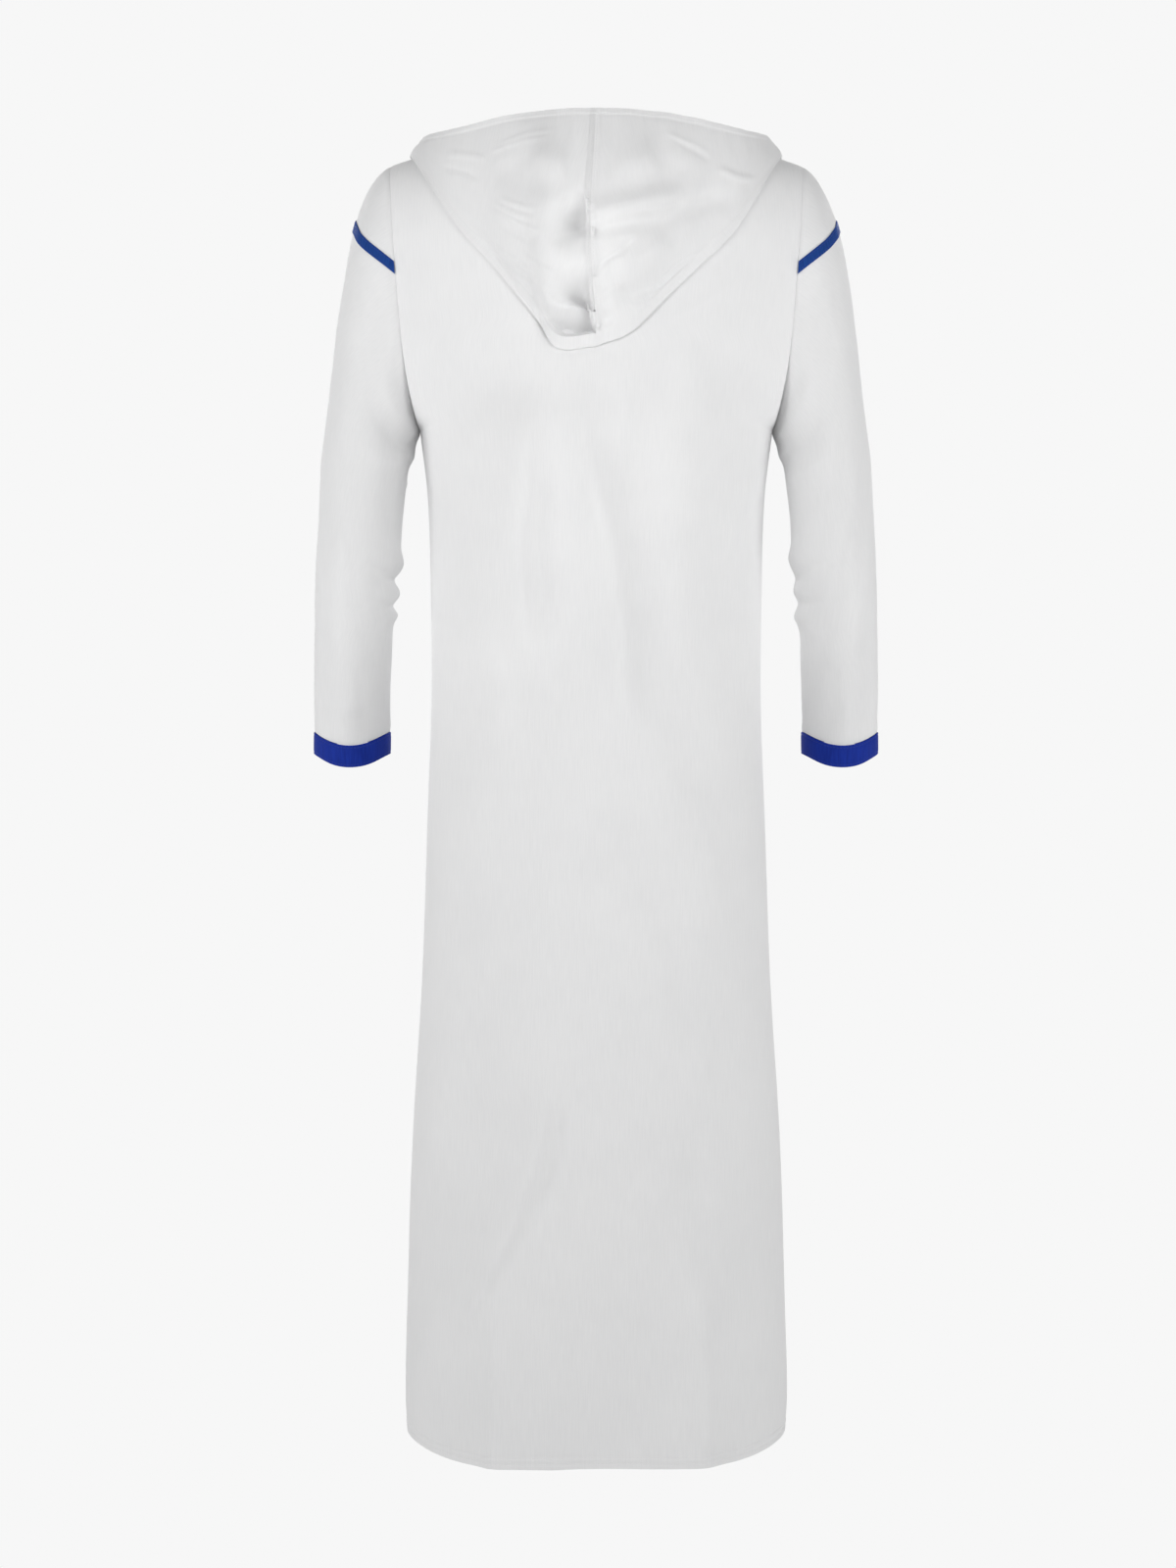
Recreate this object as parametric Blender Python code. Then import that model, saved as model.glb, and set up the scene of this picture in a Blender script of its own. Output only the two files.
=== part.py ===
"""A hooded, ankle-length thobe robe, open and filled out as it hangs from a wearer's shoulders.

Metres, +Z up. The wearer faces -Y, so the back is at +Y and the wearer's left is at +X.
The origin is level with the tops of the shoulders, in the middle of the neck.
Every cut piece of cloth is one closed wall. Pieces that are sewn together stand a seam gap apart.
"""
import math
from collections import namedtuple

import bmesh
import bpy
from mathutils import Vector
from mathutils.bvhtree import BVHTree

# ---------------------------------------------------------------- driving dimensions, metres
SEAM_GAP = 0.0003
WALL = 0.002
HOOD_WALL = 0.0011
TAPE_WALL = 0.001

ARMPIT_HEIGHT = -0.276
HEM_SIDE_RISE = 0.013

NECK_HALF_WIDTH = 0.085
NECK_SIDE_HEIGHT = 0.034
BACK_NECK_DROP = 0.020
FRONT_NECK_DROP = 0.092
SHOULDER_HALF_WIDTH = 0.2095
SHOULDER_POINT_HEIGHT = -0.006
NECK_ROUNDING = 0.190
SHOULDER_ROUNDING = 0.100

ARMHOLE_NARROWING = 0.030
ARMHOLE_SLANT_POWER = 1.9
ARMHOLE_HALF_DEPTH = 0.068
ARMHOLE_WIDEST = 0.62
OPEN_ARC_POWER = 2.4
EDGE_REACH_POWER = 9.0
SECTION_POWER = 2.15
OPENING_SHARE = 0.3
HEM_RISE_POWER = 4

# Folds fade out towards the side seams and just below the neck.
SIDE_FADE = 0.25
FOLD_TOP_HEIGHT = -0.020
FOLD_TOP_FADE = 0.100

# Where two pieces meet aslant, their edges start this far apart to keep the seam gap between faces.
SLANT_GAP = 1.6 * SEAM_GAP
SEAM_SPREAD = 10

# The sleeve cap leaves the armhole outwards and down, and arrives upright at the first arm ring.
CAP_OUTWARD = 0.86
CAP_DOWNWARD = 0.52
CAP_START_SHORT = 0.008
CAP_START_LONG = 0.054
CAP_END_SHORT = 0.010
CAP_END_LONG = 0.140
CAP_END_LEAN = 0.07

CUFF_LENGTH = 0.024
CUFF_SLANT = 0.02
TAPE_WIDTH = 0.011
TAPE_LIFT = 0.0009
TAPE_STATIONS = 40
TAPE_BACK_HEIGHT = -0.118
TAPE_SIDE_HEIGHT = -0.0675
TAPE_FRONT_HEIGHT = -0.036
TAPE_FRONT_POWER = 1.4
TAPE_AXIS_OUT = 0.0014
TAPE_FAR = 0.2

HOOD_RIM_HALF_WIDTH = 0.178
HOOD_RIM_BACK = 0.135
HOOD_RIM_FRONT = 0.124
HOOD_RIM_BACK_HEIGHT = 0.024
HOOD_RIM_SIDE_HEIGHT = 0.0205
HOOD_RIM_FRONT_HEIGHT = -0.046
HOOD_RIM_FRONT_POWER = 2.2
HOOD_BACK_CLEARANCE = 0.0045
HOOD_SHOULDER_CLEARANCE = 0.0075
HOOD_LAYER_GAP = 0.0125
HOOD_STAND = 0.008
HOOD_STAND_OUT = 0.001
HOOD_SEAM_LEAN = 2.0
HOOD_BULGE = 0.030
HOOD_BULGE_SHARE = 0.13
HOOD_TURN_RADIUS = 0.0070
HOOD_NEAR_BACK = 0.06
HOOD_NEAR_SIDE = 0.35
HOOD_SEAM_DRIFT = 0.0045
HOOD_DRIFT_END = 120.0
HOOD_DRIFT_FADE = 90.0
HOOD_FOLDS_END = 100.0
HOOD_FOLDS_FADE = 30.0
HOOD_RIM_FADE = 0.8
HOOD_RIM_FOLD_SHARE = 0.3
HOOD_GAP_END = 80.0
HOOD_GAP_SOFTNESS = 0.004

# How the hood's under layer lies on the robe: share of the way from neck to turn, and its lift.
UnderStation = namedtuple("UnderStation", "share lift")
HOOD_UNDER = (
    UnderStation(0.10, 0.010),
    UnderStation(0.30, 0.008),
)
HOOD_CLOSE_SHARES = (0.65, 0.93)
HOOD_OUTER_SHARES = (0.2, 0.4, 0.6, 0.8)

# The body's level sections, from the hem up to the armpit.
Section = namedtuple("Section", "height half_width back_depth front_depth")
BODY_SECTIONS = (
    Section(-1.303, 0.1945, 0.141, 0.139),
    Section(-1.155, 0.1920, 0.138, 0.136),
    Section(-0.995, 0.1870, 0.131, 0.129),
    Section(-0.835, 0.1775, 0.124, 0.122),
    Section(-0.675, 0.1720, 0.118, 0.118),
    Section(-0.555, 0.1680, 0.114, 0.118),
    Section(-0.435, 0.1685, 0.118, 0.122),
    Section(-0.345, 0.1715, 0.127, 0.126),
    Section(-0.276, 0.1795, 0.133, 0.127),
)

# The sleeve's sections below the armpit. Lean is how far a ring's back edge tips down, in degrees.
ArmSection = namedtuple("ArmSection", "height centre_x centre_y half_width half_depth lean")
ARM_SECTIONS = (
    ArmSection(-0.306, 0.2350, 0.004, 0.0445, 0.0640, 0.0),
    ArmSection(-0.360, 0.2390, 0.008, 0.0425, 0.0590, 2.0),
    ArmSection(-0.420, 0.2432, 0.008, 0.0420, 0.0540, 7.0),
    ArmSection(-0.480, 0.2478, -0.008, 0.0398, 0.0490, 16.0),
    ArmSection(-0.535, 0.2508, -0.029, 0.0393, 0.0450, 20.0),
    ArmSection(-0.581, 0.2524, -0.047, 0.0393, 0.0420, 20.0),
    ArmSection(-0.610, 0.2532, -0.058, 0.0390, 0.0415, 20.0),
)

# Where the hood's pouch turns under, on each side, by the angle round the neck from centre back.
TurnStation = namedtuple("TurnStation", "angle x left_height right_height")
HOOD_TURN = (
    TurnStation(0.0, 0.000, -0.205, -0.205),
    TurnStation(12.0, 0.036, -0.206, -0.186),
    TurnStation(25.0, 0.070, -0.170, -0.158),
    TurnStation(38.0, 0.102, -0.126, -0.126),
    TurnStation(50.0, 0.132, -0.090, -0.096),
    TurnStation(62.0, 0.157, -0.056, -0.058),
    TurnStation(72.0, 0.173, -0.028, -0.028),
    TurnStation(81.0, 0.183, -0.008, -0.008),
    TurnStation(90.0, 0.188, 0.0022, 0.0022),
    TurnStation(99.0, 0.183, -0.008, -0.008),
    TurnStation(112.0, 0.168, -0.026, -0.026),
    TurnStation(140.0, 0.118, -0.048, -0.048),
    TurnStation(165.0, 0.050, -0.080, -0.080),
    TurnStation(180.0, 0.000, -0.092, -0.092),
)

# Soft folds: a line from (x0, z0) to (x1, z1), its half width, and its height, less than 0 in a trough.
Fold = namedtuple("Fold", "x0 z0 x1 z1 half_width rise")
BACK_FOLDS = (
    Fold(0.052, -0.215, 0.048, -0.640, 0.022, -0.007),
    Fold(0.012, -0.210, 0.006, -0.450, 0.016, 0.005),
    Fold(-0.010, -0.230, -0.034, -0.600, 0.018, -0.007),
    Fold(0.006, -0.450, -0.024, -0.610, 0.014, 0.004),
    Fold(-0.130, -0.300, -0.165, -0.400, 0.014, 0.004),
    Fold(0.046, -0.900, 0.064, -1.040, 0.017, 0.006),
    Fold(0.064, -1.040, 0.156, -1.240, 0.018, 0.007),
    Fold(0.108, -1.160, 0.108, -1.330, 0.016, 0.006),
    Fold(-0.112, -1.150, -0.112, -1.330, 0.016, 0.005),
    Fold(-0.010, -1.180, -0.006, -1.330, 0.075, -0.010),
)
FRONT_FOLDS = (
    Fold(0.060, -0.240, 0.046, -0.620, 0.024, -0.006),
    Fold(-0.052, -0.250, -0.040, -0.560, 0.022, -0.006),
    Fold(0.004, -0.300, -0.008, -0.700, 0.020, 0.004),
    Fold(-0.050, -0.840, -0.120, -1.240, 0.022, 0.007),
    Fold(0.080, -1.000, 0.104, -1.330, 0.024, 0.006),
    Fold(0.000, -1.150, 0.000, -1.330, 0.070, -0.008),
)
# The hood's folds lie on its outer layer. X is the true side, as on the body.
HOOD_FOLDS = (
    Fold(0.105, 0.000, 0.004, -0.044, 0.011, 0.009),
    Fold(0.004, -0.044, -0.150, 0.000, 0.011, 0.010),
    Fold(0.070, -0.012, -0.060, -0.012, 0.022, -0.008),
    Fold(0.030, -0.066, 0.002, -0.074, 0.016, -0.014),
    Fold(-0.020, -0.078, -0.140, -0.020, 0.012, -0.008),
    Fold(0.090, -0.080, 0.004, -0.122, 0.012, 0.008),
    Fold(0.000, -0.122, -0.090, -0.078, 0.012, 0.006),
    Fold(0.030, -0.155, 0.002, -0.165, 0.020, -0.015),
    Fold(0.052, -0.170, 0.030, -0.196, 0.010, 0.006),
    Fold(-0.012, -0.185, -0.150, -0.060, 0.012, 0.007),
)

# Cross creases inside the bend of each elbow.
Crease = namedtuple("Crease", "height half_height rise")
LEFT_ELBOW = (
    Crease(-0.410, 0.011, 0.0045),
    Crease(-0.427, 0.007, -0.0035),
    Crease(-0.441, 0.008, 0.0035),
    Crease(-0.453, 0.006, -0.0025),
    Crease(-0.463, 0.007, 0.0040),
)
RIGHT_ELBOW = (
    Crease(-0.405, 0.011, 0.0042),
    Crease(-0.425, 0.008, -0.0020),
    Crease(-0.450, 0.008, -0.0025),
    Crease(-0.465, 0.007, 0.0035),
)
ELBOW_WIDEST_ANGLE = 200.0

# Grid sizes.
NECK_COLUMNS = 6
SHOULDER_COLUMNS = 7
BACK_SKIRT_ROWS = 25
FRONT_SKIRT_ROWS = 18
YOKE_ROWS = 10
SLEEVE_SIDES = 20
CAP_ROWS = 9
CUFF_ROWS = 2
HOOD_TURN_PLACE = 7
HOOD_RIM_PLACE = 12
HOOD_UNDER_PLACES = (0.0, 0.6, 1.0, 1.5, 2.0, 3.0, 4.0, 5.0, 6.0)
HOOD_OUTER_ROWS = 13
HOOD_STEP = 7.5
HOOD_STEPS = 16
HOOD_FRONT_STEP = 15.0
HOOD_FRONT_STEPS = 4
SHARP_ANGLE = 40.0

# The sleeve's rows below its cap: the height each band ends at, and its number of rows.
RowBand = namedtuple("RowBand", "end_height rows")
SLEEVE_BANDS = (
    RowBand(-0.395, 4),
    RowBand(-0.475, 9),
    RowBand(-0.581, 4),
)

# Colours.
CLOTH_COLOUR = (0.80, 0.80, 0.80, 1.0)
BLUE_COLOUR = (0.012, 0.035, 0.25, 1.0)
CLOTH_ROUGHNESS = 0.85
BLUE_ROUGHNESS = 0.7

BACK = 1
FRONT = -1
LEFT = 1
RIGHT = -1


# ---------------------------------------------------------------- small helpers
def blend(start, end, share):
    """A value or point part of the way from start to end."""
    return start + (end - start) * share


def ease(share):
    """A share from 0 to 1 that starts and ends gently."""
    share = min(max(share, 0.0), 1.0)
    return share * share * (3.0 - 2.0 * share)


def read_table(rows, key, column, value):
    """The column's value where the key column, rising or falling, passes the value."""
    points = sorted((getattr(row, key), getattr(row, column)) for row in rows)
    value = min(max(value, points[0][0]), points[-1][0])
    index = 0
    while index < len(points) - 2 and value > points[index + 1][0]:
        index += 1
    (k0, v0), (k1, v1) = points[index], points[index + 1]
    before = points[max(index - 1, 0)]
    after = points[min(index + 2, len(points) - 1)]
    slope0 = (v1 - before[1]) / (k1 - before[0])
    slope1 = (after[1] - v0) / (after[0] - k0)
    span = k1 - k0
    t = (value - k0) / span
    return ((2 * t ** 3 - 3 * t ** 2 + 1) * v0 + (t ** 3 - 2 * t ** 2 + t) * span * slope0
            + (3 * t ** 2 - 2 * t ** 3) * v1 + (t ** 3 - t ** 2) * span * slope1)


def fold_rise(folds, x, z):
    """How far all the folds together lift the cloth at a place on the panel."""
    total = 0.0
    for fold in folds:
        dx = fold.x1 - fold.x0
        dz = fold.z1 - fold.z0
        length = math.hypot(dx, dz)
        along = ((x - fold.x0) * dx + (z - fold.z0) * dz) / length
        off = ((x - fold.x0) * dz - (z - fold.z0) * dx) / length
        beyond = max(-along, along - length, 0.0)
        fall = (off / fold.half_width) ** 2 + (beyond / (2 * fold.half_width)) ** 2
        total += fold.rise * math.exp(-fall)
    return total


def bezier(p0, p1, p2, p3, t):
    """A point on a cubic curve."""
    r = 1.0 - t
    return p0 * r ** 3 + p1 * (3 * r * r * t) + p2 * (3 * r * t * t) + p3 * t ** 3


def heading(points, index):
    """The direction in which a curve through the points passes one of them."""
    last = len(points) - 1
    if index == 0 or index == last:
        return (points[min(index + 1, last)] - points[max(index - 1, 0)]).normalized()
    before = points[index] - points[index - 1]
    after = points[index + 1] - points[index]
    mixed = before.normalized() * after.length + after.normalized() * before.length
    return mixed / (before.length + after.length)


def spline(points, place):
    """A point on a smooth curve through the points. Place 2.5 is halfway from the third to the next."""
    index = min(int(place), len(points) - 2)
    t = place - index
    start = points[index]
    end = points[index + 1]
    leaving = heading(points, index) * (end - start).length
    arriving = heading(points, index + 1) * (end - start).length
    return (start * (2 * t ** 3 - 3 * t ** 2 + 1) + leaving * (t ** 3 - 2 * t ** 2 + t)
            + end * (3 * t ** 2 - 2 * t ** 3) + arriving * (t ** 3 - t ** 2))


# ---------------------------------------------------------------- the body's form
def shoulder_height(x):
    """Height of the shoulder line at a distance from the neck's middle."""
    slope = (NECK_SIDE_HEIGHT - SHOULDER_POINT_HEIGHT) / (SHOULDER_HALF_WIDTH - NECK_HALF_WIDTH)
    return NECK_SIDE_HEIGHT - slope * max(abs(x) - NECK_HALF_WIDTH, 0.0)


def shoulder_round(x, drop):
    """How much of the full depth the cloth has, at a drop below the shoulder line."""
    rounding = blend(NECK_ROUNDING, SHOULDER_ROUNDING, ease(abs(x) / SHOULDER_HALF_WIDTH))
    fall = drop * (shoulder_height(x) - ARMPIT_HEIGHT) / rounding
    return math.sqrt(max(1.0 - (1.0 - min(fall, 1.0)) ** 2, 0.0))


def armhole_x(drop):
    """Distance of the armhole from the middle, from drop 0 at the shoulder to 1 at the armpit."""
    return SHOULDER_HALF_WIDTH - ARMHOLE_NARROWING * drop ** ARMHOLE_SLANT_POWER


def armhole_depth(drop):
    """Depth of the armhole's edge before the shoulder rounds it off."""
    below = max((drop - ARMHOLE_WIDEST) / (1.0 - ARMHOLE_WIDEST), 0.0)
    return ARMHOLE_HALF_DEPTH * math.sqrt(max(1.0 - below * below, 0.0))


def neck_drop(x, side):
    """Drop of the neckline below the shoulder line, as a share of the way to the armpit."""
    depth = BACK_NECK_DROP if side == BACK else FRONT_NECK_DROP
    inside = max(1.0 - (x / NECK_HALF_WIDTH) ** 2, 0.0)
    return depth * inside / (shoulder_height(x) - ARMPIT_HEIGHT)


def yoke_point(side, across, drop):
    """A point of the cloth above the armpit. Across runs -1 to 1, drop 0 to 1 downwards."""
    opened = ease((1.0 - drop) / OPENING_SHARE)
    share = blend(math.sin(abs(across) * math.pi / 2), abs(across), opened)
    x = math.copysign(armhole_x(drop) * share, across)
    closed_curve = (max(1.0 - share ** SECTION_POWER, 0.0)) ** (1.0 / SECTION_POWER)
    open_curve = 1.0 - share ** OPEN_ARC_POWER
    column = "back_depth" if side == BACK else "front_depth"
    middle = read_table(BODY_SECTIONS, "height", column, ARMPIT_HEIGHT)
    edge = armhole_depth(drop)
    edge_pull = blend(share ** EDGE_REACH_POWER, 1.0 - open_curve, opened)
    depth = middle * blend(closed_curve, open_curve, opened) + edge * edge_pull
    z = blend(shoulder_height(x), ARMPIT_HEIGHT, drop)
    y = side * depth * shoulder_round(x, drop)
    return Vector((x, y, z))


def skirt_point(side, across, rise):
    """A point of the cloth below the armpit. Rise runs from 0 at the hem to 1 at the armpit."""
    share = math.sin(abs(across) * math.pi / 2)
    hem = BODY_SECTIONS[0].height + HEM_SIDE_RISE * share ** HEM_RISE_POWER
    z = blend(hem, ARMPIT_HEIGHT, rise)
    column = "back_depth" if side == BACK else "front_depth"
    x = math.copysign(read_table(BODY_SECTIONS, "height", "half_width", z) * share, across)
    curve = (max(1.0 - share ** SECTION_POWER, 0.0)) ** (1.0 / SECTION_POWER)
    y = side * read_table(BODY_SECTIONS, "height", column, z) * curve
    return Vector((x, y, z))


def body_point(side, across, level):
    """A point of a body panel. Level runs from 0 at the hem, by 1 at the armpit, to 2 at the top edge."""
    if level <= 1.0:
        point = skirt_point(side, across, level)
    else:
        top_x = SHOULDER_HALF_WIDTH * abs(across)
        top = neck_drop(min(top_x, NECK_HALF_WIDTH), side)
        lift = math.sin((level - 1.0) * math.pi / 2)
        point = yoke_point(side, across, blend(1.0, top, lift))
    folds = BACK_FOLDS if side == BACK else FRONT_FOLDS
    fade = ease((1.0 - abs(across)) / SIDE_FADE) * ease((FOLD_TOP_HEIGHT - point.z) / FOLD_TOP_FADE)
    point.y += side * (fold_rise(folds, point.x, point.z) * fade + SEAM_GAP / 2)
    return point


def yoke_place(x, z):
    """Across and drop of the cloth at a distance from the middle and a height."""
    top = shoulder_height(x)
    drop = min(max((top - z) / (top - ARMPIT_HEIGHT), 0.0), 1.0)
    return x / armhole_x(drop), drop


def yoke_lifted(side, across, drop, lift):
    """A point standing off the cloth above the armpit by a lift."""
    step = 0.004
    low = min(drop + step, 1.0)
    high = max(drop - step, 0.0)
    down = yoke_point(side, across, low) - yoke_point(side, across, high)
    out = yoke_point(side, across + step, drop) - yoke_point(side, across - step, drop)
    normal = out.cross(down).normalized() * side
    if drop < step:
        normal.y = 0.0
        normal.normalize()
    if normal.dot(Vector((0, side, 1))) < 0:
        normal.negate()
    point = yoke_point(side, across, drop) + normal * lift
    point.y += side * SEAM_GAP / 2
    return point


# ---------------------------------------------------------------- walls
def face_normal(corners):
    """The normal of a face with four corners."""
    return (corners[2] - corners[0]).cross(corners[3] - corners[1]).normalized()


def grid_normals(grid, closed):
    """Each point's normal, from the faces round it. A closed grid's rows join end to end."""
    rows = len(grid)
    columns = len(grid[0])
    normals = [[Vector() for _ in range(columns)] for _ in range(rows)]
    for r in range(rows - 1):
        for c in range(columns if closed else columns - 1):
            d = (c + 1) % columns
            normal = face_normal((grid[r][c], grid[r][d], grid[r + 1][d], grid[r + 1][c]))
            for row, column in ((r, c), (r, d), (r + 1, d), (r + 1, c)):
                normals[row][column] += normal
    return [[normal.normalized() for normal in row] for row in normals]


def make_wall(name, grid, thickness, material, closed=False, square=None, facing=1.0):
    """Build one closed wall of cloth whose outer face is the grid.

    Facing is -1 where the grid's own normals point to the inside. Square is a function that turns
    the wall at a seam, so that the pieces on both sides of it keep the same gap.
    """
    rows = len(grid)
    columns = len(grid[0])
    normals = grid_normals(grid, closed)
    mesh = bmesh.new()
    outer = []
    inner = []
    for r in range(rows):
        outer.append([mesh.verts.new(point) for point in grid[r]])
        inner_row = []
        for c in range(columns):
            normal = normals[r][c] * facing
            if square is not None:
                normal = square(r, c, normal)
            inner_row.append(mesh.verts.new(grid[r][c] - normal * thickness))
        inner.append(inner_row)
    for r in range(rows - 1):
        for c in range(columns if closed else columns - 1):
            d = (c + 1) % columns
            mesh.faces.new((outer[r][c], outer[r][d], outer[r + 1][d], outer[r + 1][c]))
            mesh.faces.new((inner[r][c], inner[r + 1][c], inner[r + 1][d], inner[r][d]))
    for c in range(columns if closed else columns - 1):
        d = (c + 1) % columns
        mesh.faces.new((outer[0][d], outer[0][c], inner[0][c], inner[0][d]))
        mesh.faces.new((outer[-1][c], outer[-1][d], inner[-1][d], inner[-1][c]))
    if not closed:
        for r in range(rows - 1):
            mesh.faces.new((outer[r][0], outer[r + 1][0], inner[r + 1][0], inner[r][0]))
            mesh.faces.new((outer[r + 1][-1], outer[r][-1], inner[r][-1], inner[r + 1][-1]))
    bmesh.ops.recalc_face_normals(mesh, faces=mesh.faces)
    bmesh.ops.triangulate(mesh, faces=mesh.faces)
    data = bpy.data.meshes.new(name)
    mesh.to_mesh(data)
    mesh.free()
    data.shade_smooth()
    data.set_sharp_from_angle(angle=math.radians(SHARP_ANGLE))
    data.materials.append(material)
    piece = bpy.data.objects.new(name, data)
    bpy.context.scene.collection.objects.link(piece)
    return piece


def make_material(name, colour, roughness):
    """A plain cloth material."""
    material = bpy.data.materials.new(name)
    material.use_nodes = True
    shader = material.node_tree.nodes["Principled BSDF"]
    shader.inputs["Base Color"].default_value = colour
    shader.inputs["Roughness"].default_value = roughness
    shader.inputs["Metallic"].default_value = 0.0
    return material


# ---------------------------------------------------------------- body panels
def across_steps():
    """Where the panel's columns stand, from the middle to the side: closer at the neck's side."""
    neck_share = NECK_HALF_WIDTH / SHOULDER_HALF_WIDTH
    steps = [neck_share * math.sin(math.pi / 2 * i / NECK_COLUMNS) for i in range(NECK_COLUMNS + 1)]
    for i in range(1, SHOULDER_COLUMNS + 1):
        steps.append(blend(neck_share, 1.0, i / SHOULDER_COLUMNS))
    return steps


def panel_columns():
    """All the panel's columns, from one side to the other."""
    half = across_steps()
    return [-step for step in reversed(half[1:])] + half


def make_panel(name, side, skirt_rows, material):
    """The front or back of the body, from hem to shoulder seams."""
    levels = [i / skirt_rows for i in range(skirt_rows + 1)]
    levels += [1.0 + i / YOKE_ROWS for i in range(1, YOKE_ROWS + 1)]
    columns = panel_columns()
    grid = [[body_point(side, across, level) for across in columns] for level in levels]
    shoulder_share = NECK_HALF_WIDTH / SHOULDER_HALF_WIDTH

    def square(row, column, normal):
        at_side = abs(columns[column]) > 0.999 and levels[row] <= 1.0
        at_shoulder = row == len(levels) - 1 and abs(columns[column]) >= shoulder_share - 1e-6
        if at_side or at_shoulder:
            normal = Vector((normal.x, 0.0, normal.z)).normalized()
        return normal

    return make_wall(name, grid, WALL, material, square=square, facing=-side)


# ---------------------------------------------------------------- sleeves
def armhole_point(hand, angle):
    """A point on the armhole's edge. Angle 0 is the shoulder, 90 the back, 180 the armpit."""
    turn = math.radians(angle)
    side = BACK if math.sin(turn) >= 0 else FRONT
    drop = (1.0 - math.cos(turn)) / 2
    point = yoke_point(side, hand, drop)
    point.y += side * SEAM_GAP / 2 * min(abs(math.sin(turn)) * SEAM_SPREAD, 1.0)
    return point


def arm_point(hand, angle, height, creases):
    """A point on the sleeve below the armpit, on the ring whose middle is at a height."""
    turn = math.radians(angle)
    width = read_table(ARM_SECTIONS, "height", "half_width", height)
    depth = read_table(ARM_SECTIONS, "height", "half_depth", height)
    lean = math.radians(read_table(ARM_SECTIONS, "height", "lean", height))
    x = read_table(ARM_SECTIONS, "height", "centre_x", height) + width * math.cos(turn)
    y = read_table(ARM_SECTIONS, "height", "centre_y", height) + depth * math.sin(turn) * math.cos(lean)
    z = height - depth * math.sin(turn) * math.sin(lean)
    near_bend = max(math.cos(math.radians(angle - ELBOW_WIDEST_ANGLE)), 0.0) ** 2
    for crease in creases:
        lift = crease.rise * math.exp(-((height - crease.height) / crease.half_height) ** 2) * near_bend
        x += lift * math.cos(turn)
        y += lift * math.sin(turn)
    return Vector((hand * x, y, z))


def sleeve_point(hand, angle, share, creases):
    """A point on the sleeve's cap, from the armhole at share 0 to the first arm ring at share 1."""
    top = armhole_point(hand, angle)
    top.x += hand * SLANT_GAP
    ring = arm_point(hand, angle, ARM_SECTIONS[0].height, ())
    reach = (1.0 + math.cos(math.radians(angle))) / 2
    outward = CAP_OUTWARD * math.sqrt(reach)
    start = Vector((hand * outward, 0.0, -blend(1.0, CAP_DOWNWARD, reach))).normalized()
    start_length = blend(CAP_START_SHORT, CAP_START_LONG, reach)
    end_length = blend(CAP_END_SHORT, CAP_END_LONG, reach)
    end = Vector((-hand * CAP_END_LEAN * reach, 0.0, 1.0))
    return bezier(top, top + start * start_length, ring + end * end_length, ring, share)


def sleeve_heights():
    """Heights of the sleeve's rings below its cap, closer together at the elbow."""
    heights = [ARM_SECTIONS[0].height]
    for band in SLEEVE_BANDS:
        start = heights[-1]
        heights += [blend(start, band.end_height, (i + 1) / band.rows) for i in range(band.rows)]
    return heights


def ring_angles():
    """The angles of a ring's corners."""
    return [360.0 * i / SLEEVE_SIDES for i in range(SLEEVE_SIDES)]


def make_sleeve(name, hand, creases, material):
    """A long sleeve, from the armhole to the cuff."""
    angles = ring_angles()
    grid = [[sleeve_point(hand, a, i / CAP_ROWS, creases) for a in angles] for i in range(CAP_ROWS)]
    grid += [[arm_point(hand, a, height, creases) for a in angles] for height in sleeve_heights()]

    def square(row, _, normal):
        if row == 0 and normal.x * hand > 0.0:
            normal = Vector((0.0, normal.y, normal.z)).normalized()
        return normal

    return make_wall(name, grid, WALL, material, closed=True, square=square, facing=-hand)


def make_cuff(name, hand, material):
    """The cuff's band, a seam gap below the sleeve's end."""
    top = ARM_SECTIONS[-2]
    lean = math.radians(top.lean)
    angles = ring_angles()
    grid = []
    for row in range(CUFF_ROWS + 1):
        along = SEAM_GAP + CUFF_LENGTH * row / CUFF_ROWS
        ring = []
        for angle in angles:
            point = arm_point(hand, angle, top.height, ())
            point.x += hand * CUFF_SLANT * along
            point.y -= along * math.sin(lean)
            point.z -= along * math.cos(lean)
            ring.append(point)
        grid.append(ring)
    return make_wall(name, grid, WALL, material, closed=True, facing=-hand)


# ---------------------------------------------------------------- tapes on the sleeve caps
def tape_height(turn):
    """Height of the tape's middle at a turn round the arm: 90 degrees at the back, -90 at the front."""
    if turn >= 0.0:
        return blend(TAPE_SIDE_HEIGHT, TAPE_BACK_HEIGHT, 1.0 - math.cos(turn))
    return blend(TAPE_SIDE_HEIGHT, TAPE_FRONT_HEIGHT, math.sin(-turn) ** TAPE_FRONT_POWER)


def tape_point(surface, hand, turn, offset):
    """A point of the tape's face, lifted off the sleeve, at a turn and an offset up its width."""
    height = tape_height(turn) + offset
    _, drop = yoke_place(SHOULDER_HALF_WIDTH, height)
    ray = Vector((hand * math.cos(turn), math.sin(turn), 0.0))
    axis = Vector((hand * (armhole_x(drop) + TAPE_AXIS_OUT), 0.0, height))
    place, face, _, _ = surface.ray_cast(axis + ray * TAPE_FAR, -ray)
    return place + face * (TAPE_LIFT + TAPE_WALL)


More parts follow.
